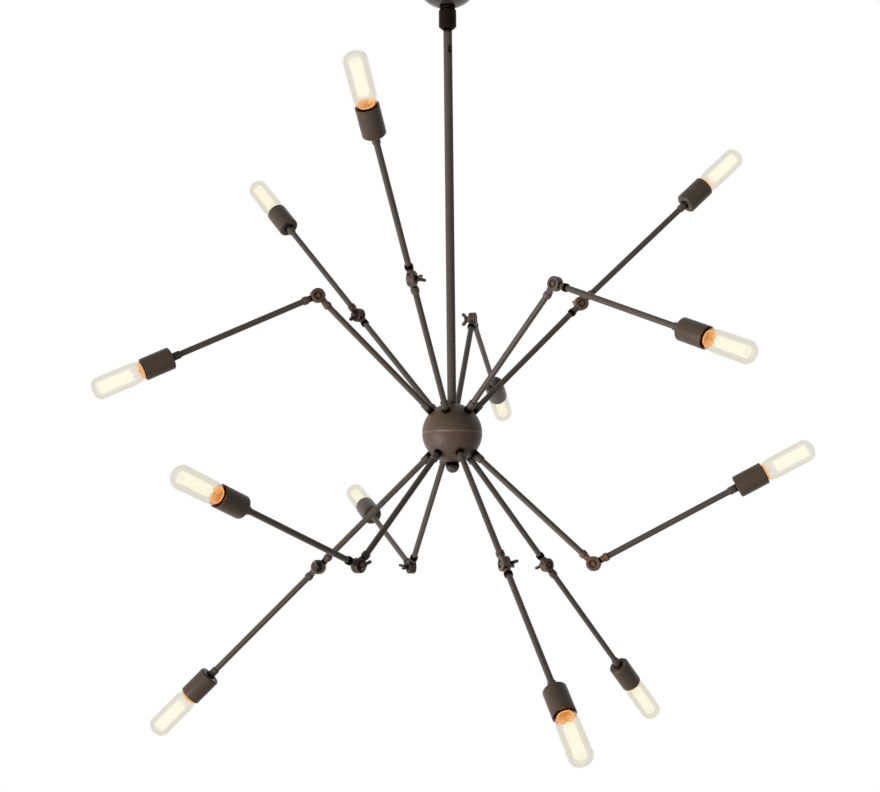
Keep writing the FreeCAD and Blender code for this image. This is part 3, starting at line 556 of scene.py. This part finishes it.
# Inner arms
# Twelve drawn tubes that stand out of the ball in two rings of six. A sleeve with a hollow
# foot backs each one on the round shell, and a nut inside pulls it tight.
def seated(origin, along, across):
    # a seat whose Z runs along the arm and whose Y is the pin's own axis
    x = across.cross(along).normalized()
    return Matrix.Translation(origin) @ Matrix((x, across, along)).transposed().to_4x4()


arms = []
widest_fold = 120
for ring in ("upper", "lower"):
    for number in range(1, 7):
        name = "%s_%d" % (ring, number)
        knuckle = joints["knuckle_" + name]
        pin = Vector(knuckle["pos_m"])
        straight = (pin - ball_middle).normalized()
        fold = math.radians(widest_fold - knuckle["range_deg"][1])
        folded = Matrix.Rotation(fold, 3, Vector(knuckle["axis"])) @ straight
        wing_way = Vector(joints["wing_turn_" + name]["axis"])
        arms.append({"name": name, "pin": pin, "straight": straight, "folded": folded,
                     "wing_way": wing_way})

tube_bore = 2.375 * mm
tube_seat = 13.4 * mm
arm_reach = (arms[0]["pin"] - ball_middle).length
ball_face = arm_reach - ball_radius
tube_into_ball = 6.8 * mm
sleeve_radius = 4.3 * mm
sleeve_length = 12.0 * mm
sleeve_bevel = 0.8 * mm
sleeve_ease = 0.25 * mm
sleeve_sink = 0.25 * mm
# the sleeve darkens to black over its last millimetres at the ball
root_dark_band = (ball_face - 2.2 * mm, ball_face - 7.5 * mm)
root_bronze = bronze("root_bronze", **drawn, dark_band=root_dark_band)


def sleeved_tube(name, material, end, radius, low, high):
    # a tube from its eye to an end, with a sleeve that is bevelled towards the eye
    shell = bmesh.new()
    turned(shell, [(tube_bore, tube_seat), (tube_radius, tube_seat), (tube_radius, end),
                   (tube_bore, end)], around=32)
    turned(shell, rounded([
        (tube_radius, low, 0.0),
        (radius - sleeve_bevel, low, sleeve_ease),
        (radius, low + sleeve_bevel, sleeve_ease),
        (radius, high, 0.0),
        (tube_radius, high, 0.0),
    ]), around=32)
    return mesh_from(shell, name, material)


inner_arm = sleeved_tube("inner_arm", root_bronze, ball_face + tube_into_ball, sleeve_radius,
                         ball_face - sleeve_length, ball_face + sleeve_sink)
for arm in arms:
    seat = seated(arm["pin"], -arm["straight"], -arm["wing_way"])
    arm["inner"] = fitted("inner_arm_" + arm["name"], inner_arm, "frame", "dark_bronze", seat=seat)
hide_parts("inner_arms")


# Knuckles
# Each joint is two cast eyes, face to face on one pin: one on the inner tube, one on the outer.
# An eye is a round disc with a recessed face, bridged to a neck and a collar for the tube.
# Patina and rubbing differ from joint to joint: grey brown, coppery or nearly black.
cast = {"rub": (0.36, 0.26, 0.21), "cloud": 120.0, "edge": 0.5 * mm, "gloss": 0.34, "across": 500.0,
        "along": 500.0, "depth": 0.08 * mm}
patinas = {
    "grey": {"dark": (0.105, 0.08, 0.066), "warm": (0.15, 0.092, 0.066)},
    "copper": {"dark": (0.12, 0.076, 0.054), "warm": (0.23, 0.108, 0.056)},
    "black": {"dark": (0.05, 0.036, 0.03), "warm": (0.085, 0.042, 0.034)},
}

pin_radius = 2.2 * mm
pin_clear = 0.06 * mm
eye_radius = 7.7 * mm
eye_thick = 4.4 * mm
eye_gap = 0.05 * mm
eye_bevel = 1.4 * mm
recess_radius = 4.3 * mm
recess_depth = 1.6 * mm
bridge_half = 3.3 * mm
bridge_low = 5.4 * mm
neck_low = 9.2 * mm
neck_high = 12.2 * mm
neck_radius = 3.6 * mm
tube_collar_radius = 4.4 * mm
tube_collar_high = 17.0 * mm
about_pin = Matrix.Rotation(math.radians(-90), 4, "X")
blanks = [bpy.data.materials.new("blank_%d" % number) for number in range(3)]
shell = bmesh.new()
faces = turned(shell, rounded([
    (pin_radius + pin_clear, eye_gap, 0.0),
    (eye_radius, eye_gap, 0.25 * mm),
    (eye_radius, eye_thick, eye_bevel),
    (recess_radius, eye_thick, 0.3 * mm),
    (recess_radius, eye_thick - recess_depth, 0.0),
    (pin_radius + pin_clear, eye_thick - recess_depth, 0.0),
]), around=64, turn=about_pin)
for face in faces:
    middle = face.calc_center_median()
    sunk = math.hypot(middle.x, middle.z) < recess_radius + 0.05 * mm
    face.material_index = 2 if sunk and middle.y > eye_thick - recess_depth - 0.05 * mm else 0
disc = mesh_from(shell, "eye_disc", *blanks)
shell = bmesh.new()
bmesh.ops.create_cube(shell, size=1.0, matrix=Matrix.Translation(
    (0, (eye_gap + bridge_half) / 2, (bridge_low + neck_low + 0.6 * mm) / 2))
    @ Matrix.Diagonal((2 * bridge_half, bridge_half - eye_gap, neck_low + 0.6 * mm - bridge_low, 1)))
bmesh.ops.bevel(shell, geom=shell.edges, offset=0.5 * mm, segments=3, affect="EDGES", profile=0.5)
bridge = mesh_from(shell, "eye_bridge", *blanks)
shell = bmesh.new()
faces = turned(shell, rounded([
    (0.0, neck_low, 0.0),
    (neck_radius, neck_low, 0.4 * mm),
    (neck_radius, neck_high, 0.0),
    (tube_collar_radius, neck_high, 0.45 * mm),
    (tube_collar_radius, tube_collar_high, 0.6 * mm),
    (tube_radius, tube_collar_high, 0.0),
    (tube_radius, tube_seat, 0.0),
    (0.0, tube_seat, 0.0),
]), around=48)
for face in faces:
    face.material_index = 1 if face.calc_center_median().z > neck_high else 0
neck = mesh_from(shell, "eye_neck", *blanks)
bare_eye = combined(combined(disc, bridge, "UNION"), neck, "UNION")

coppery = ("upper_3", "upper_6", "lower_2", "lower_3")
blackened = ("upper_5", "lower_4", "lower_6")
# painted shade: on these knuckles the collar of the fixed eye, and on the next ones that of the moving
# eye, fades to black towards its tube
shaded_collar_inner = ("upper_3", "upper_4", "upper_5", "lower_3", "lower_4")
shaded_collar_outer = ("upper_1", "upper_2", "lower_1", "lower_6")
collar_painted_shade = (neck_high + 2.4 * mm, neck_high + 0.2 * mm)
finishes = {}
for look, tones in patinas.items():
    whole = bronze("cast_" + look, **tones, **cast)
    # a copy of the finish with painted shade on the collar
    smoked = bronze("shaded_collar_" + look, **tones, **cast, dark_band=collar_painted_shade)
    sunk = bronze("sunk_" + look, dark=[1.3 * part for part in tones["dark"]], warm=tones["warm"],
                  **cast, crevice_shade=0.35)
    finishes[look] = {"whole": whole, "sunk": sunk}
    for collar, name in ((whole, "plain"), (smoked, "smoked")):
        eye = bare_eye.copy()
        eye.name = "knuckle_eye_%s_%s" % (look, name)
        for number, material in enumerate((whole, collar, sunk)):
            eye.materials[number] = material
        finishes[look][name] = eye
for arm in arms:
    arm["look"] = "grey"
    if arm["name"] in coppery:
        arm["look"] = "copper"
    elif arm["name"] in blackened:
        arm["look"] = "black"
    eye = finishes[arm["look"]]["smoked" if arm["name"] in shaded_collar_inner else "plain"]
    seat = seated(arm["pin"], -arm["straight"], -arm["wing_way"])
    arm["base"] = fitted("knuckle_base_" + arm["name"], eye, "frame", "dark_bronze", seat=seat)
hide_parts("knuckle_bases")

# Outer arms
# The moving eye with its own tube, and the sleeve at the tube's far end that backs the cup.
cup_start = 166.2 * mm
cup_floor = 2.6 * mm
cup_recess = 1.0 * mm
cup_nut_height = 2.8 * mm
cup_sleeve_radius = 4.15 * mm
cup_sleeve_length = 10.5 * mm
sleeve_end = cup_start + cup_recess
holder_low = cup_start + cup_floor + cup_nut_height
outer_tube = sleeved_tube("outer_tube", drawn_bronze, holder_low, cup_sleeve_radius,
                          sleeve_end - cup_sleeve_length, sleeve_end)
for arm in arms:
    body = "arm_" + arm["name"]
    arm["seat"] = seated(arm["pin"], arm["folded"], arm["wing_way"])
    fitted("outer_tube_" + arm["name"], outer_tube, body, "dark_bronze", "outer_arm_" + arm["name"],
           seat=arm["seat"])
    eye = finishes[arm["look"]]["smoked" if arm["name"] in shaded_collar_outer else "plain"]
    fitted("knuckle_eye_" + arm["name"], eye, body, "dark_bronze", seat=arm["seat"])


# Wing screws
# The pin of each knuckle is a cast screw with two flared ears for the fingers. Its shoulder
# sits in the moving eye's recess, and its end shows in the fixed eye's recess.
pin_end = 3.0 * mm
shoulder_radius = 4.0 * mm
shoulder_height = 1.0 * mm
wing_hub_radius = 2.9 * mm
wing_hub_height = 5.2 * mm
wing_span = 7.5 * mm
wing_height = 8.6 * mm
wing_thick = 2.4 * mm
shell = bmesh.new()
faces = turned(shell, rounded([
    (0.0, -pin_end - mm, 0.0),
    (pin_radius, -pin_end - mm, 0.5 * mm),
    (pin_radius, eye_thick - recess_depth, 0.0),
    (shoulder_radius, eye_thick - recess_depth, 0.0),
    (shoulder_radius, eye_thick + shoulder_height, 0.4 * mm),
    (wing_hub_radius, eye_thick + shoulder_height, 0.5 * mm),
    (wing_hub_radius, eye_thick + wing_hub_height, 1.2 * mm),
    (0.0, eye_thick + wing_hub_height, 0.0),
]), around=40, turn=about_pin)
for face in faces:
    face.material_index = 1 if face.calc_center_median().y > 0 else 2
shaft = mesh_from(shell, "wing_shaft", *blanks)
ear = rounded([
    (1.0 * mm, shoulder_height + 0.4 * mm, 0.0),
    (0.45 * wing_span, shoulder_height + 0.8 * mm, 2.0 * mm),
    (wing_span, 0.6 * wing_height, 1.5 * mm),
    (0.92 * wing_span, wing_height, 0.9 * mm),
    (0.6 * wing_span, 0.92 * wing_height, 0.8 * mm),
    (1.0 * mm, wing_hub_height - 0.3 * mm, 0.0),
])
for side in (1, -1):
    shell = bmesh.new()
    flat = [shell.verts.new((-wing_thick / 2, eye_thick + up, side * out)) for out, up in ear]
    blade = bmesh.ops.extrude_face_region(shell, geom=[shell.faces.new(flat)])["geom"]
    moved = [part for part in blade if isinstance(part, bmesh.types.BMVert)]
    bmesh.ops.translate(shell, verts=moved, vec=(wing_thick, 0, 0))
    rims = [line for line in shell.edges if abs(line.verts[0].co.x - line.verts[1].co.x) < 1e-9]
    bmesh.ops.bevel(shell, geom=rims, offset=0.45 * mm, segments=3, affect="EDGES", profile=0.5)
    shaft = combined(shaft, mesh_from(shell, "wing_ear", *blanks), "UNION")
for look, made in finishes.items():
    made["screw"] = shaft.copy()
    made["screw"].name = "wing_screw_" + look
    for number, material in enumerate((made["whole"], finishes["black"]["whole"], made["sunk"])):
        made["screw"].materials[number] = material
# how far each wing was left turned, ring by ring
wing_turns = (32, 68, 74, 134, 125, 0, 112, 20, 104, 118, 47, 172)
for arm, wing_turn in zip(arms, wing_turns):
    turn = Matrix.Rotation(math.radians(wing_turn), 3, arm["wing_way"])
    fitted("wing_screw_piece_" + arm["name"], finishes[arm["look"]]["screw"],
           "screw_" + arm["name"], "dark_bronze", "wing_screw_" + arm["name"],
           seat=seated(arm["pin"], turn @ arm["straight"], arm["wing_way"]))


# Socket cups
# A cup turned from tube stock, bevelled at its closed back and blackened like the rest. Its
# raw inner wall is dark red-brown in the lamp's own light.
cup_bronze = bronze(
    "cup_bronze", dark=(0.077, 0.054, 0.037), warm=(0.092, 0.058, 0.039), rub=(0.3, 0.2, 0.16),
    cloud=70.0, edge=0.6 * mm, gloss=0.36, across=50.0, along=2800.0, depth=0.03 * mm)

# Lamplight: how a surface inside the cup glows, brightest near the lamp's axis
lamplight, given, result = effect(
    "lamplight", [("Near", "Color"), ("Far", "Color"), ("Reach", "Float")], [("Color", "Color")])
place = add(lamplight, "ShaderNodeTexCoord", {}).outputs["Object"]
flat = add(lamplight, "ShaderNodeVectorMath", {"operation": "MULTIPLY"}, place, (1, 1, 0)).outputs[0]
away = add(lamplight, "ShaderNodeVectorMath", {"operation": "LENGTH"}, flat).outputs["Value"]
ripple = add(lamplight, "ShaderNodeTexNoise", {}, Vector=place, Scale=260.0, Detail=2.0)
waver = add(lamplight, "ShaderNodeMapRange", {}, Value=ripple.outputs["Fac"],
            To_Min=0.7, To_Max=1.3).outputs[0]
away = add(lamplight, "ShaderNodeMath", {"operation": "MULTIPLY"}, away, waver).outputs[0]
share = add(lamplight, "ShaderNodeMath", {"operation": "DIVIDE", "use_clamp": True},
            away, given["Reach"]).outputs[0]
glow = add(lamplight, "ShaderNodeMixRGB", {}, share, given["Near"], given["Far"])
lamplight.links.new(glow.outputs[0], result["Color"])

red_wall = coated("cup_inner_wall", 400.0, (0.06, 0.018, 0.012), (0.03, 0.008, 0.006), Metallic=0.2)

cup_length = 31.6 * mm
mouth = cup_start + cup_length
lit_wall, tree, shader = finish("lit_cup_wall")
near = add(tree, "ShaderNodeMapRange", {"interpolation_type": "SMOOTHSTEP"}, Value=height_on(tree),
           From_Min=mouth - 6.0 * mm, From_Max=mouth, To_Max=0.3).outputs[0]
feed(tree, shader, Base_Color=(0.06, 0.018, 0.012, 1.0), Roughness=0.5,
     Emission_Color=(0.3, 0.1, 0.05, 1.0), Emission_Strength=near)
lit_wall.cycles.emission_sampling = "NONE"

lit_rim, tree, shader = finish("lit_cup_rim")
feed(tree, shader, Base_Color=(0.12, 0.03, 0.02, 1.0), Emission_Color=(0.36, 0.08, 0.03, 1.0),
     Emission_Strength=0.8)
lit_rim.cycles.emission_sampling = "NONE"

cup_radius = 11.6 * mm
cup_wall = 1.0 * mm
cup_bevel = 1.3 * mm
cup_recess_radius = 5.3 * mm
shell = bmesh.new()
faces = turned(shell, rounded([
    (tube_radius, sleeve_end, 0.0),
    (cup_recess_radius, sleeve_end, 0.0),
    (cup_recess_radius, cup_start, 0.2 * mm),
    (cup_radius - cup_bevel, cup_start, 0.7 * mm),
    (cup_radius, cup_start + cup_bevel, 0.7 * mm),
    (cup_radius, mouth, 0.4 * mm),
    (cup_radius - cup_wall, mouth, 0.3 * mm),
    (cup_radius - cup_wall, cup_start + cup_floor, 0.0),
    (tube_radius, cup_start + cup_floor, 0.0),
]), around=80)
for face in faces:
    middle = face.calc_center_median()
    out = math.hypot(middle.x, middle.y)
    if out < cup_radius - 0.6 * cup_wall and middle.z > mouth - 0.4 * mm:
        face.material_index = 2
    elif out < cup_radius - 0.9 * cup_wall and middle.z > cup_start + 0.9 * cup_floor:
        face.material_index = 1
cup = mesh_from(shell, "socket_cup", cup_bronze, lit_wall, lit_rim)
for arm in arms:
    fitted("socket_cup_piece_" + arm["name"], cup, "arm_" + arm["name"], "dark_bronze",
           "socket_cup_" + arm["name"], seat=arm["seat"])

# Lampholders
# An insert that stands on the cup's nut, with a screw bore for the lamp's cap. Its dark glaze
# glows orange close to the lamp and falls off to maroon.
porcelain, tree, shader = finish("lit_porcelain")
coat = add(tree, "ShaderNodeGroup", {"node_tree": lamplight}, Near=(0.4, 0.09, 0.025, 1.0),
           Far=(0.02, 0.004, 0.002, 1.0), Reach=8.0 * mm)
feed(tree, shader, Base_Color=(0.05, 0.015, 0.01, 1.0), Roughness=0.3,
     Emission_Color=coat.outputs["Color"], Emission_Strength=0.8)
porcelain.cycles.emission_sampling = "NONE"

holder_radius = 9.4 * mm
holder_high = holder_low + 19.0 * mm
holder_floor = 3.0 * mm
holder_bore = 6.2 * mm
lead_hole = 1.3 * mm
shell = bmesh.new()
turned(shell, rounded([
    (lead_hole, holder_low, 0.0),
    (holder_radius, holder_low, 0.5 * mm),
    (holder_radius, holder_high, 0.8 * mm),
    (holder_bore, holder_high, 0.5 * mm),
    (holder_bore, holder_low + holder_floor, 0.0),
    (lead_hole, holder_low + holder_floor, 0.0),
]), around=64)
holder = mesh_from(shell, "lampholder", porcelain)
for arm in arms:
    fitted("lampholder_" + arm["name"], holder, "arm_" + arm["name"], "dark_bronze",
           seat=arm["seat"])


# Lamp caps and mounts
# A rolled brass screw cap cemented to the glass, and inside the glass a foot that glows amber in
# painted lamplight and a pinched stem of clear glass with two lead wires that carry the filament.
cap_low = holder_low + holder_floor + 1.0 * mm
cap_high = cap_low + 17.0 * mm
foot_low = cap_high + 0.3 * mm
foot_high = mouth + 3.0 * mm
# painted lamplight: the foot glows by its own emission, deep amber at the cap and pale peach at its rim
lit_cap, tree, shader = finish("lit_cap_face")
share = add(tree, "ShaderNodeMapRange", {}, Value=height_on(tree), From_Min=foot_low,
            From_Max=foot_high).outputs[0]
tone = add(tree, "ShaderNodeMixRGB", {}, share, (0.66, 0.23, 0.02, 1.0), (0.94, 0.52, 0.24, 1.0))
feed(tree, shader, Base_Color=(0.1, 0.05, 0.02, 1.0), Roughness=0.35,
     Emission_Color=tone.outputs[0], Emission_Strength=1.0)
lit_cap.cycles.emission_sampling = "NONE"

cage_low = cap_high + 18.0 * mm
cage_high = 245.5 * mm
clear, tree, shader = finish("lamp_glass")
turned_away = add(tree, "ShaderNodeLayerWeight", {}, Blend=0.5).outputs["Facing"]
rim = add(tree, "ShaderNodeMapRange", {}, Value=turned_away, From_Min=0.05, From_Max=0.5).outputs[0]
tint = add(tree, "ShaderNodeMixRGB", {}, rim, (0.88, 0.868, 0.835, 1.0), (0.855, 0.828, 0.755, 1.0))
halo = add(tree, "ShaderNodeMapRange", {"interpolation_type": "SMOOTHSTEP"}, Value=turned_away,
           From_Min=0.33, From_Max=0.1, To_Max=0.028).outputs[0]
level = height_on(tree)
for low, high in ((cage_low - 8 * mm, cage_low + 4 * mm), (cage_high + 5 * mm, cage_high - 2 * mm)):
    end = add(tree, "ShaderNodeMapRange", {"interpolation_type": "SMOOTHSTEP"}, Value=level,
              From_Min=low, From_Max=high).outputs[0]
    halo = add(tree, "ShaderNodeMath", {"operation": "MULTIPLY"}, halo, end).outputs[0]
feed(tree, shader, Base_Color=tint.outputs[0], Roughness=0.0, IOR=1.12, Transmission_Weight=1.0,
     Emission_Color=(1.0, 0.97, 0.82, 1.0), Emission_Strength=halo)
clear.cycles.emission_sampling = "NONE"


def wire(points, radius, name, material):
    # a round wire along a smooth line through the points
    line = bpy.data.curves.new(name, "CURVE")
    line.dimensions = "3D"
    spline = line.splines.new("NURBS")
    spline.points.add(len(points) - 1)
    for knot, point in zip(spline.points, points):
        knot.co = (*point, 1.0)
    spline.order_u = 3
    spline.use_endpoint_u = True
    spline.resolution_u = 3
    line.bevel_depth = radius
    line.bevel_resolution = 2
    line.use_fill_caps = True
    carrier = bpy.data.objects.new(name, line)
    bpy.context.scene.collection.objects.link(carrier)
    made = bpy.data.meshes.new_from_object(
        carrier.evaluated_get(bpy.context.evaluated_depsgraph_get()))
    bpy.data.objects.remove(carrier)
    made.materials.clear()
    made.materials.append(material)
    return made


def gathered(name, parts):
    # several meshes of one piece as one mesh, each with its own material
    shell = bmesh.new()
    data = bpy.data.meshes.new(name)
    for part in parts:
        known = set(shell.faces)
        shell.from_mesh(part)
        for face in shell.faces:
            if face not in known:
                face.material_index += len(data.materials)
        for material in part.materials:
            data.materials.append(material)
    shell.to_mesh(data)
    shell.free()
    return smooth(data)


glass_radius = 11.6 * mm
glass_neck = 6.6 * mm
glass_throat = 9.6 * mm
cap_crest = 5.9 * mm
cap_bore = 2.4 * mm
cap_thread = 0.5 * mm
cap_pitch = 2.54 * mm
cap_plate = 0.6 * mm
shell = bmesh.new()
turned(shell, threaded(cap_crest, cap_thread, cap_bore, cap_low + 2.0 * mm, cap_high - 0.2 * mm,
                       cap_pitch)[:-1] + [(cap_bore, cap_low)], around=40, pitch=cap_pitch)
screw_cap = mesh_from(shell, "screw_cap", brass)
shell = bmesh.new()
turned(shell, [(0.0, cap_high - cap_plate), (cap_crest, cap_high - cap_plate),
               (cap_crest, cap_high), (0.0, cap_high)], around=40, material=1)
foot_wall = 0.2 * mm
foot_base = (4.4 * mm, foot_low)
foot_rim = (8.8 * mm, foot_high)
foot_bulge = 30.0 * mm
profile = [(0.0, foot_low)] + bow(foot_base, foot_rim, foot_bulge, 1, 8)
faces = turned(shell, walled(profile, foot_wall), around=48)
bmesh.ops.recalc_face_normals(shell, faces=faces)
for face in faces:
    middle = face.calc_center_median()
    outside = face.normal.x * middle.x + face.normal.y * middle.y > 0
    in_cup = foot_low + 0.5 * mm < middle.z < mouth + 0.6 * mm
    face.material_index = 1 if outside and in_cup else 0
cap_face = mesh_from(shell, "cap_face", lit_cap, red_wall)
mount_high = cap_high + 11.0 * mm
shell = bmesh.new()
turned(shell, rounded([
    (0.0, cap_high, 0.0),
    (4.2 * mm, cap_high, 0.6 * mm),
    (1.7 * mm, cap_high + 5.0 * mm, 2.0 * mm),
    (1.5 * mm, mount_high, 0.7 * mm),
    (0.0, mount_high, 0.0),
]), around=32)
mount = mesh_from(shell, "glass_mount", clear)

# Filaments
# A long tungsten wire hooked up and down round a cage, so that it fills the middle of the
# glass with pale yellow light.
hot_wire, tree, shader = finish("hot_filament")
feed(tree, shader, Base_Color=(0.02, 0.02, 0.02, 1.0), Emission_Color=(1.0, 0.97, 0.81, 1.0),
     Emission_Strength=1.02)
hot_wire.cycles.emission_sampling = "NONE"

cage_radius = 5.0 * mm
filament_radius = 0.75 * mm
lead_radius = 0.2 * mm
strands = 16
route = []
for strand in range(strands):
    angle = 2 * math.pi * strand / strands
    column = Vector((cage_radius * math.cos(angle), cage_radius * math.sin(angle), 0))
    ends = (cage_low, cage_high) if strand % 2 == 0 else (cage_high, cage_low)
    for share in (0.0, 0.06, 0.5, 0.94, 1.0):
        route.append(column + Vector((0, 0, ends[0] + (ends[1] - ends[0]) * share)))
filament = wire(route, filament_radius, "filament", hot_wire)
lead_points = ((1.0 * mm, cap_high + 0.5 * mm), (1.0 * mm, cap_high + 7.0 * mm),
               (1.4 * mm, cap_high + 10.0 * mm), (cage_radius, cage_low + 0.4 * mm))
# the lead wires glow with the same painted lamplight as the foot
leads = []
for side in (1, -1):
    points = [Vector((side * out, 0, up)) for out, up in lead_points]
    leads.append(wire(points, lead_radius, "lead", lit_cap))
core = gathered("lamp_core", [screw_cap, cap_face, mount, filament] + leads)
for arm in arms:
    fitted("lamp_core_" + arm["name"], core, "arm_" + arm["name"], "clear_glass", seat=arm["seat"])

# Lamp glasses
# A blown clear tube with a rounded end, drawn in through the cup's mouth to the cap that holds it.
glass_wall = 0.7 * mm
lamp_tip = 253.4 * mm
throat_rise = 4.4 * mm
shoulder_rise = 15.4 * mm
glass_corner = 8.3 * mm
tip_crown = 0.35 * mm
profile = rounded([
    (glass_neck, cap_high, 0.0),
    (glass_throat, cap_high + throat_rise, 12.0 * mm),
    (glass_radius, cap_high + shoulder_rise, 40.0 * mm),
    (glass_radius, lamp_tip - glass_corner, 0.0),
    (0.0, lamp_tip - glass_corner, 0.0),
], steps=8)[:-2]
dome = bow((glass_radius, lamp_tip - glass_corner - tip_crown),
           (glass_radius - glass_corner, lamp_tip - tip_crown), glass_corner, 1, 14)
profile += dome + [(0.5 * (glass_radius - glass_corner), lamp_tip - 0.1 * mm), (0.0, lamp_tip)]
shell = bmesh.new()
turned(shell, walled(profile, glass_wall), around=64)
glass = mesh_from(shell, "lamp_glass", clear)
for arm in arms:
    fitted("lamp_glass_" + arm["name"], glass, "arm_" + arm["name"], "clear_glass",
           "bulb_" + arm["name"], seat=arm["seat"])


# Wiring and nuts
# A round cable down the stem to a terminal block in the ball, a lead in every arm, and the nuts
# that hold arms, stem and bracket. All of it is inside, and only the cable's end can be seen.
jacket = coated("cable_jacket", 300.0, (0.06, 0.06, 0.06), (0.035, 0.035, 0.036))
refinish("wiring", jacket)
refinish("fasteners", zinc)


# Studio
# A pale floor far below, a surround that is white to the eye and in the metal but lights the object
# mainly from the lower left, a broad soft lamp on that side and a weak one at the right.
def looked_at(tree):
    # one for what the eye sees, also by way of metal or glass, and none for what only lights
    path = add(tree, "ShaderNodeLightPath", {}).outputs
    seen = path["Is Camera Ray"]
    for kind in ("Is Glossy Ray", "Is Transmission Ray"):
        seen = add(tree, "ShaderNodeMath", {"operation": "MAXIMUM"}, seen, path[kind]).outputs[0]
    return seen


floor_level = -3.2
floor_half = 2.0
floor_lift = 0.55
floor_mesh = bpy.data.meshes.new("floor")
floor_mesh.from_pydata([(-floor_half, -floor_half, floor_level), (floor_half, -floor_half, floor_level),
                        (floor_half, floor_half, floor_level), (-floor_half, floor_half, floor_level)],
                       [], [(0, 1, 2, 3)])
pale, tree, shader = finish("pale_floor")
lift = add(tree, "ShaderNodeMath", {"operation": "MULTIPLY"}, looked_at(tree), floor_lift).outputs[0]
feed(tree, shader, Base_Color=(0.9, 0.9, 0.9, 1.0), Roughness=0.8,
     Emission_Color=(1.0, 1.0, 1.0, 1.0), Emission_Strength=lift)
floor_mesh.materials.append(pale)
floor = bpy.data.objects.new("floor", floor_mesh)
bpy.context.scene.collection.objects.link(floor)

world = bpy.data.worlds.new("studio")
bpy.context.scene.world = world
world.use_nodes = True
tree = world.node_tree
tree.nodes.clear()
way = add(tree, "ShaderNodeTexCoord", {}).outputs["Generated"]
facing = add(tree, "ShaderNodeVectorMath", {"operation": "DOT_PRODUCT"},
             way, (-0.87, 0.0, -0.5)).outputs["Value"]
glow = add(tree, "ShaderNodeMapRange", {}, Value=facing, From_Min=-0.6, From_Max=0.9,
           To_Min=0.0, To_Max=0.6).outputs[0]
white = add(tree, "ShaderNodeBackground", {}, Color=(1.0, 1.0, 1.0, 1.0), Strength=1.0)
surround = add(tree, "ShaderNodeBackground", {}, Color=(1.0, 1.0, 1.0, 1.0), Strength=glow)
shown = add(tree, "ShaderNodeMixShader", {}, looked_at(tree), surround.outputs[0], white.outputs[0])
add(tree, "ShaderNodeOutputWorld", {}, shown.outputs[0])

lamps = (("key", (-3.7, -2.4, -2.2), 2.8, 205.0), ("fill", (3.2, -3.6, 0.1), 2.4, 8.0))
for name, place, size, power in lamps:
    light = bpy.data.lights.new(name, "AREA")
    light.size = size
    light.energy = power
    lamp = bpy.data.objects.new(name, light)
    lamp.location = place
    lamp.rotation_euler = (Vector(place) - ball_middle).to_track_quat("Z", "Y").to_euler()
    bpy.context.scene.collection.objects.link(lamp)

# Camera
# At the photograph's viewpoint: a little below the ball, with the ball right of and below the
# middle of the picture, and the stem leaning slightly to the left.
picture_width = 880
picture_height = 792
focal_pixels = 1795.0
ball_pixel = (452.2, 433.0)
distance = 1.8955
look_up = math.radians(4.64)
lean = math.radians(-0.64)
toward = Vector((0, math.cos(look_up), math.sin(look_up)))
right = Vector((1, 0, 0))
level = Matrix((right, right.cross(toward), -toward)).transposed()
roll = Matrix.Rotation(lean, 3, "Z")
aim = Vector((ball_pixel[0] - picture_width / 2, picture_height / 2 - ball_pixel[1], -focal_pixels))
swing = (roll @ aim).rotation_difference(Vector((0, 0, -1))).to_matrix()
lens = bpy.data.cameras.new("photo_view")
lens.sensor_width = 36.0
lens.sensor_fit = "HORIZONTAL"
lens.lens = lens.sensor_width * focal_pixels / picture_width
lens.clip_end = 50.0
camera = bpy.data.objects.new("photo_view", lens)
camera.matrix_world = Matrix.Translation(ball_middle - toward * distance) @ (
    level @ swing @ roll).to_4x4()
bpy.context.scene.collection.objects.link(camera)
bpy.context.scene.camera = camera
bpy.context.scene.view_settings.view_transform = "Standard"
bpy.context.scene.cycles.max_bounces = 24
bpy.context.scene.cycles.transmission_bounces = 24
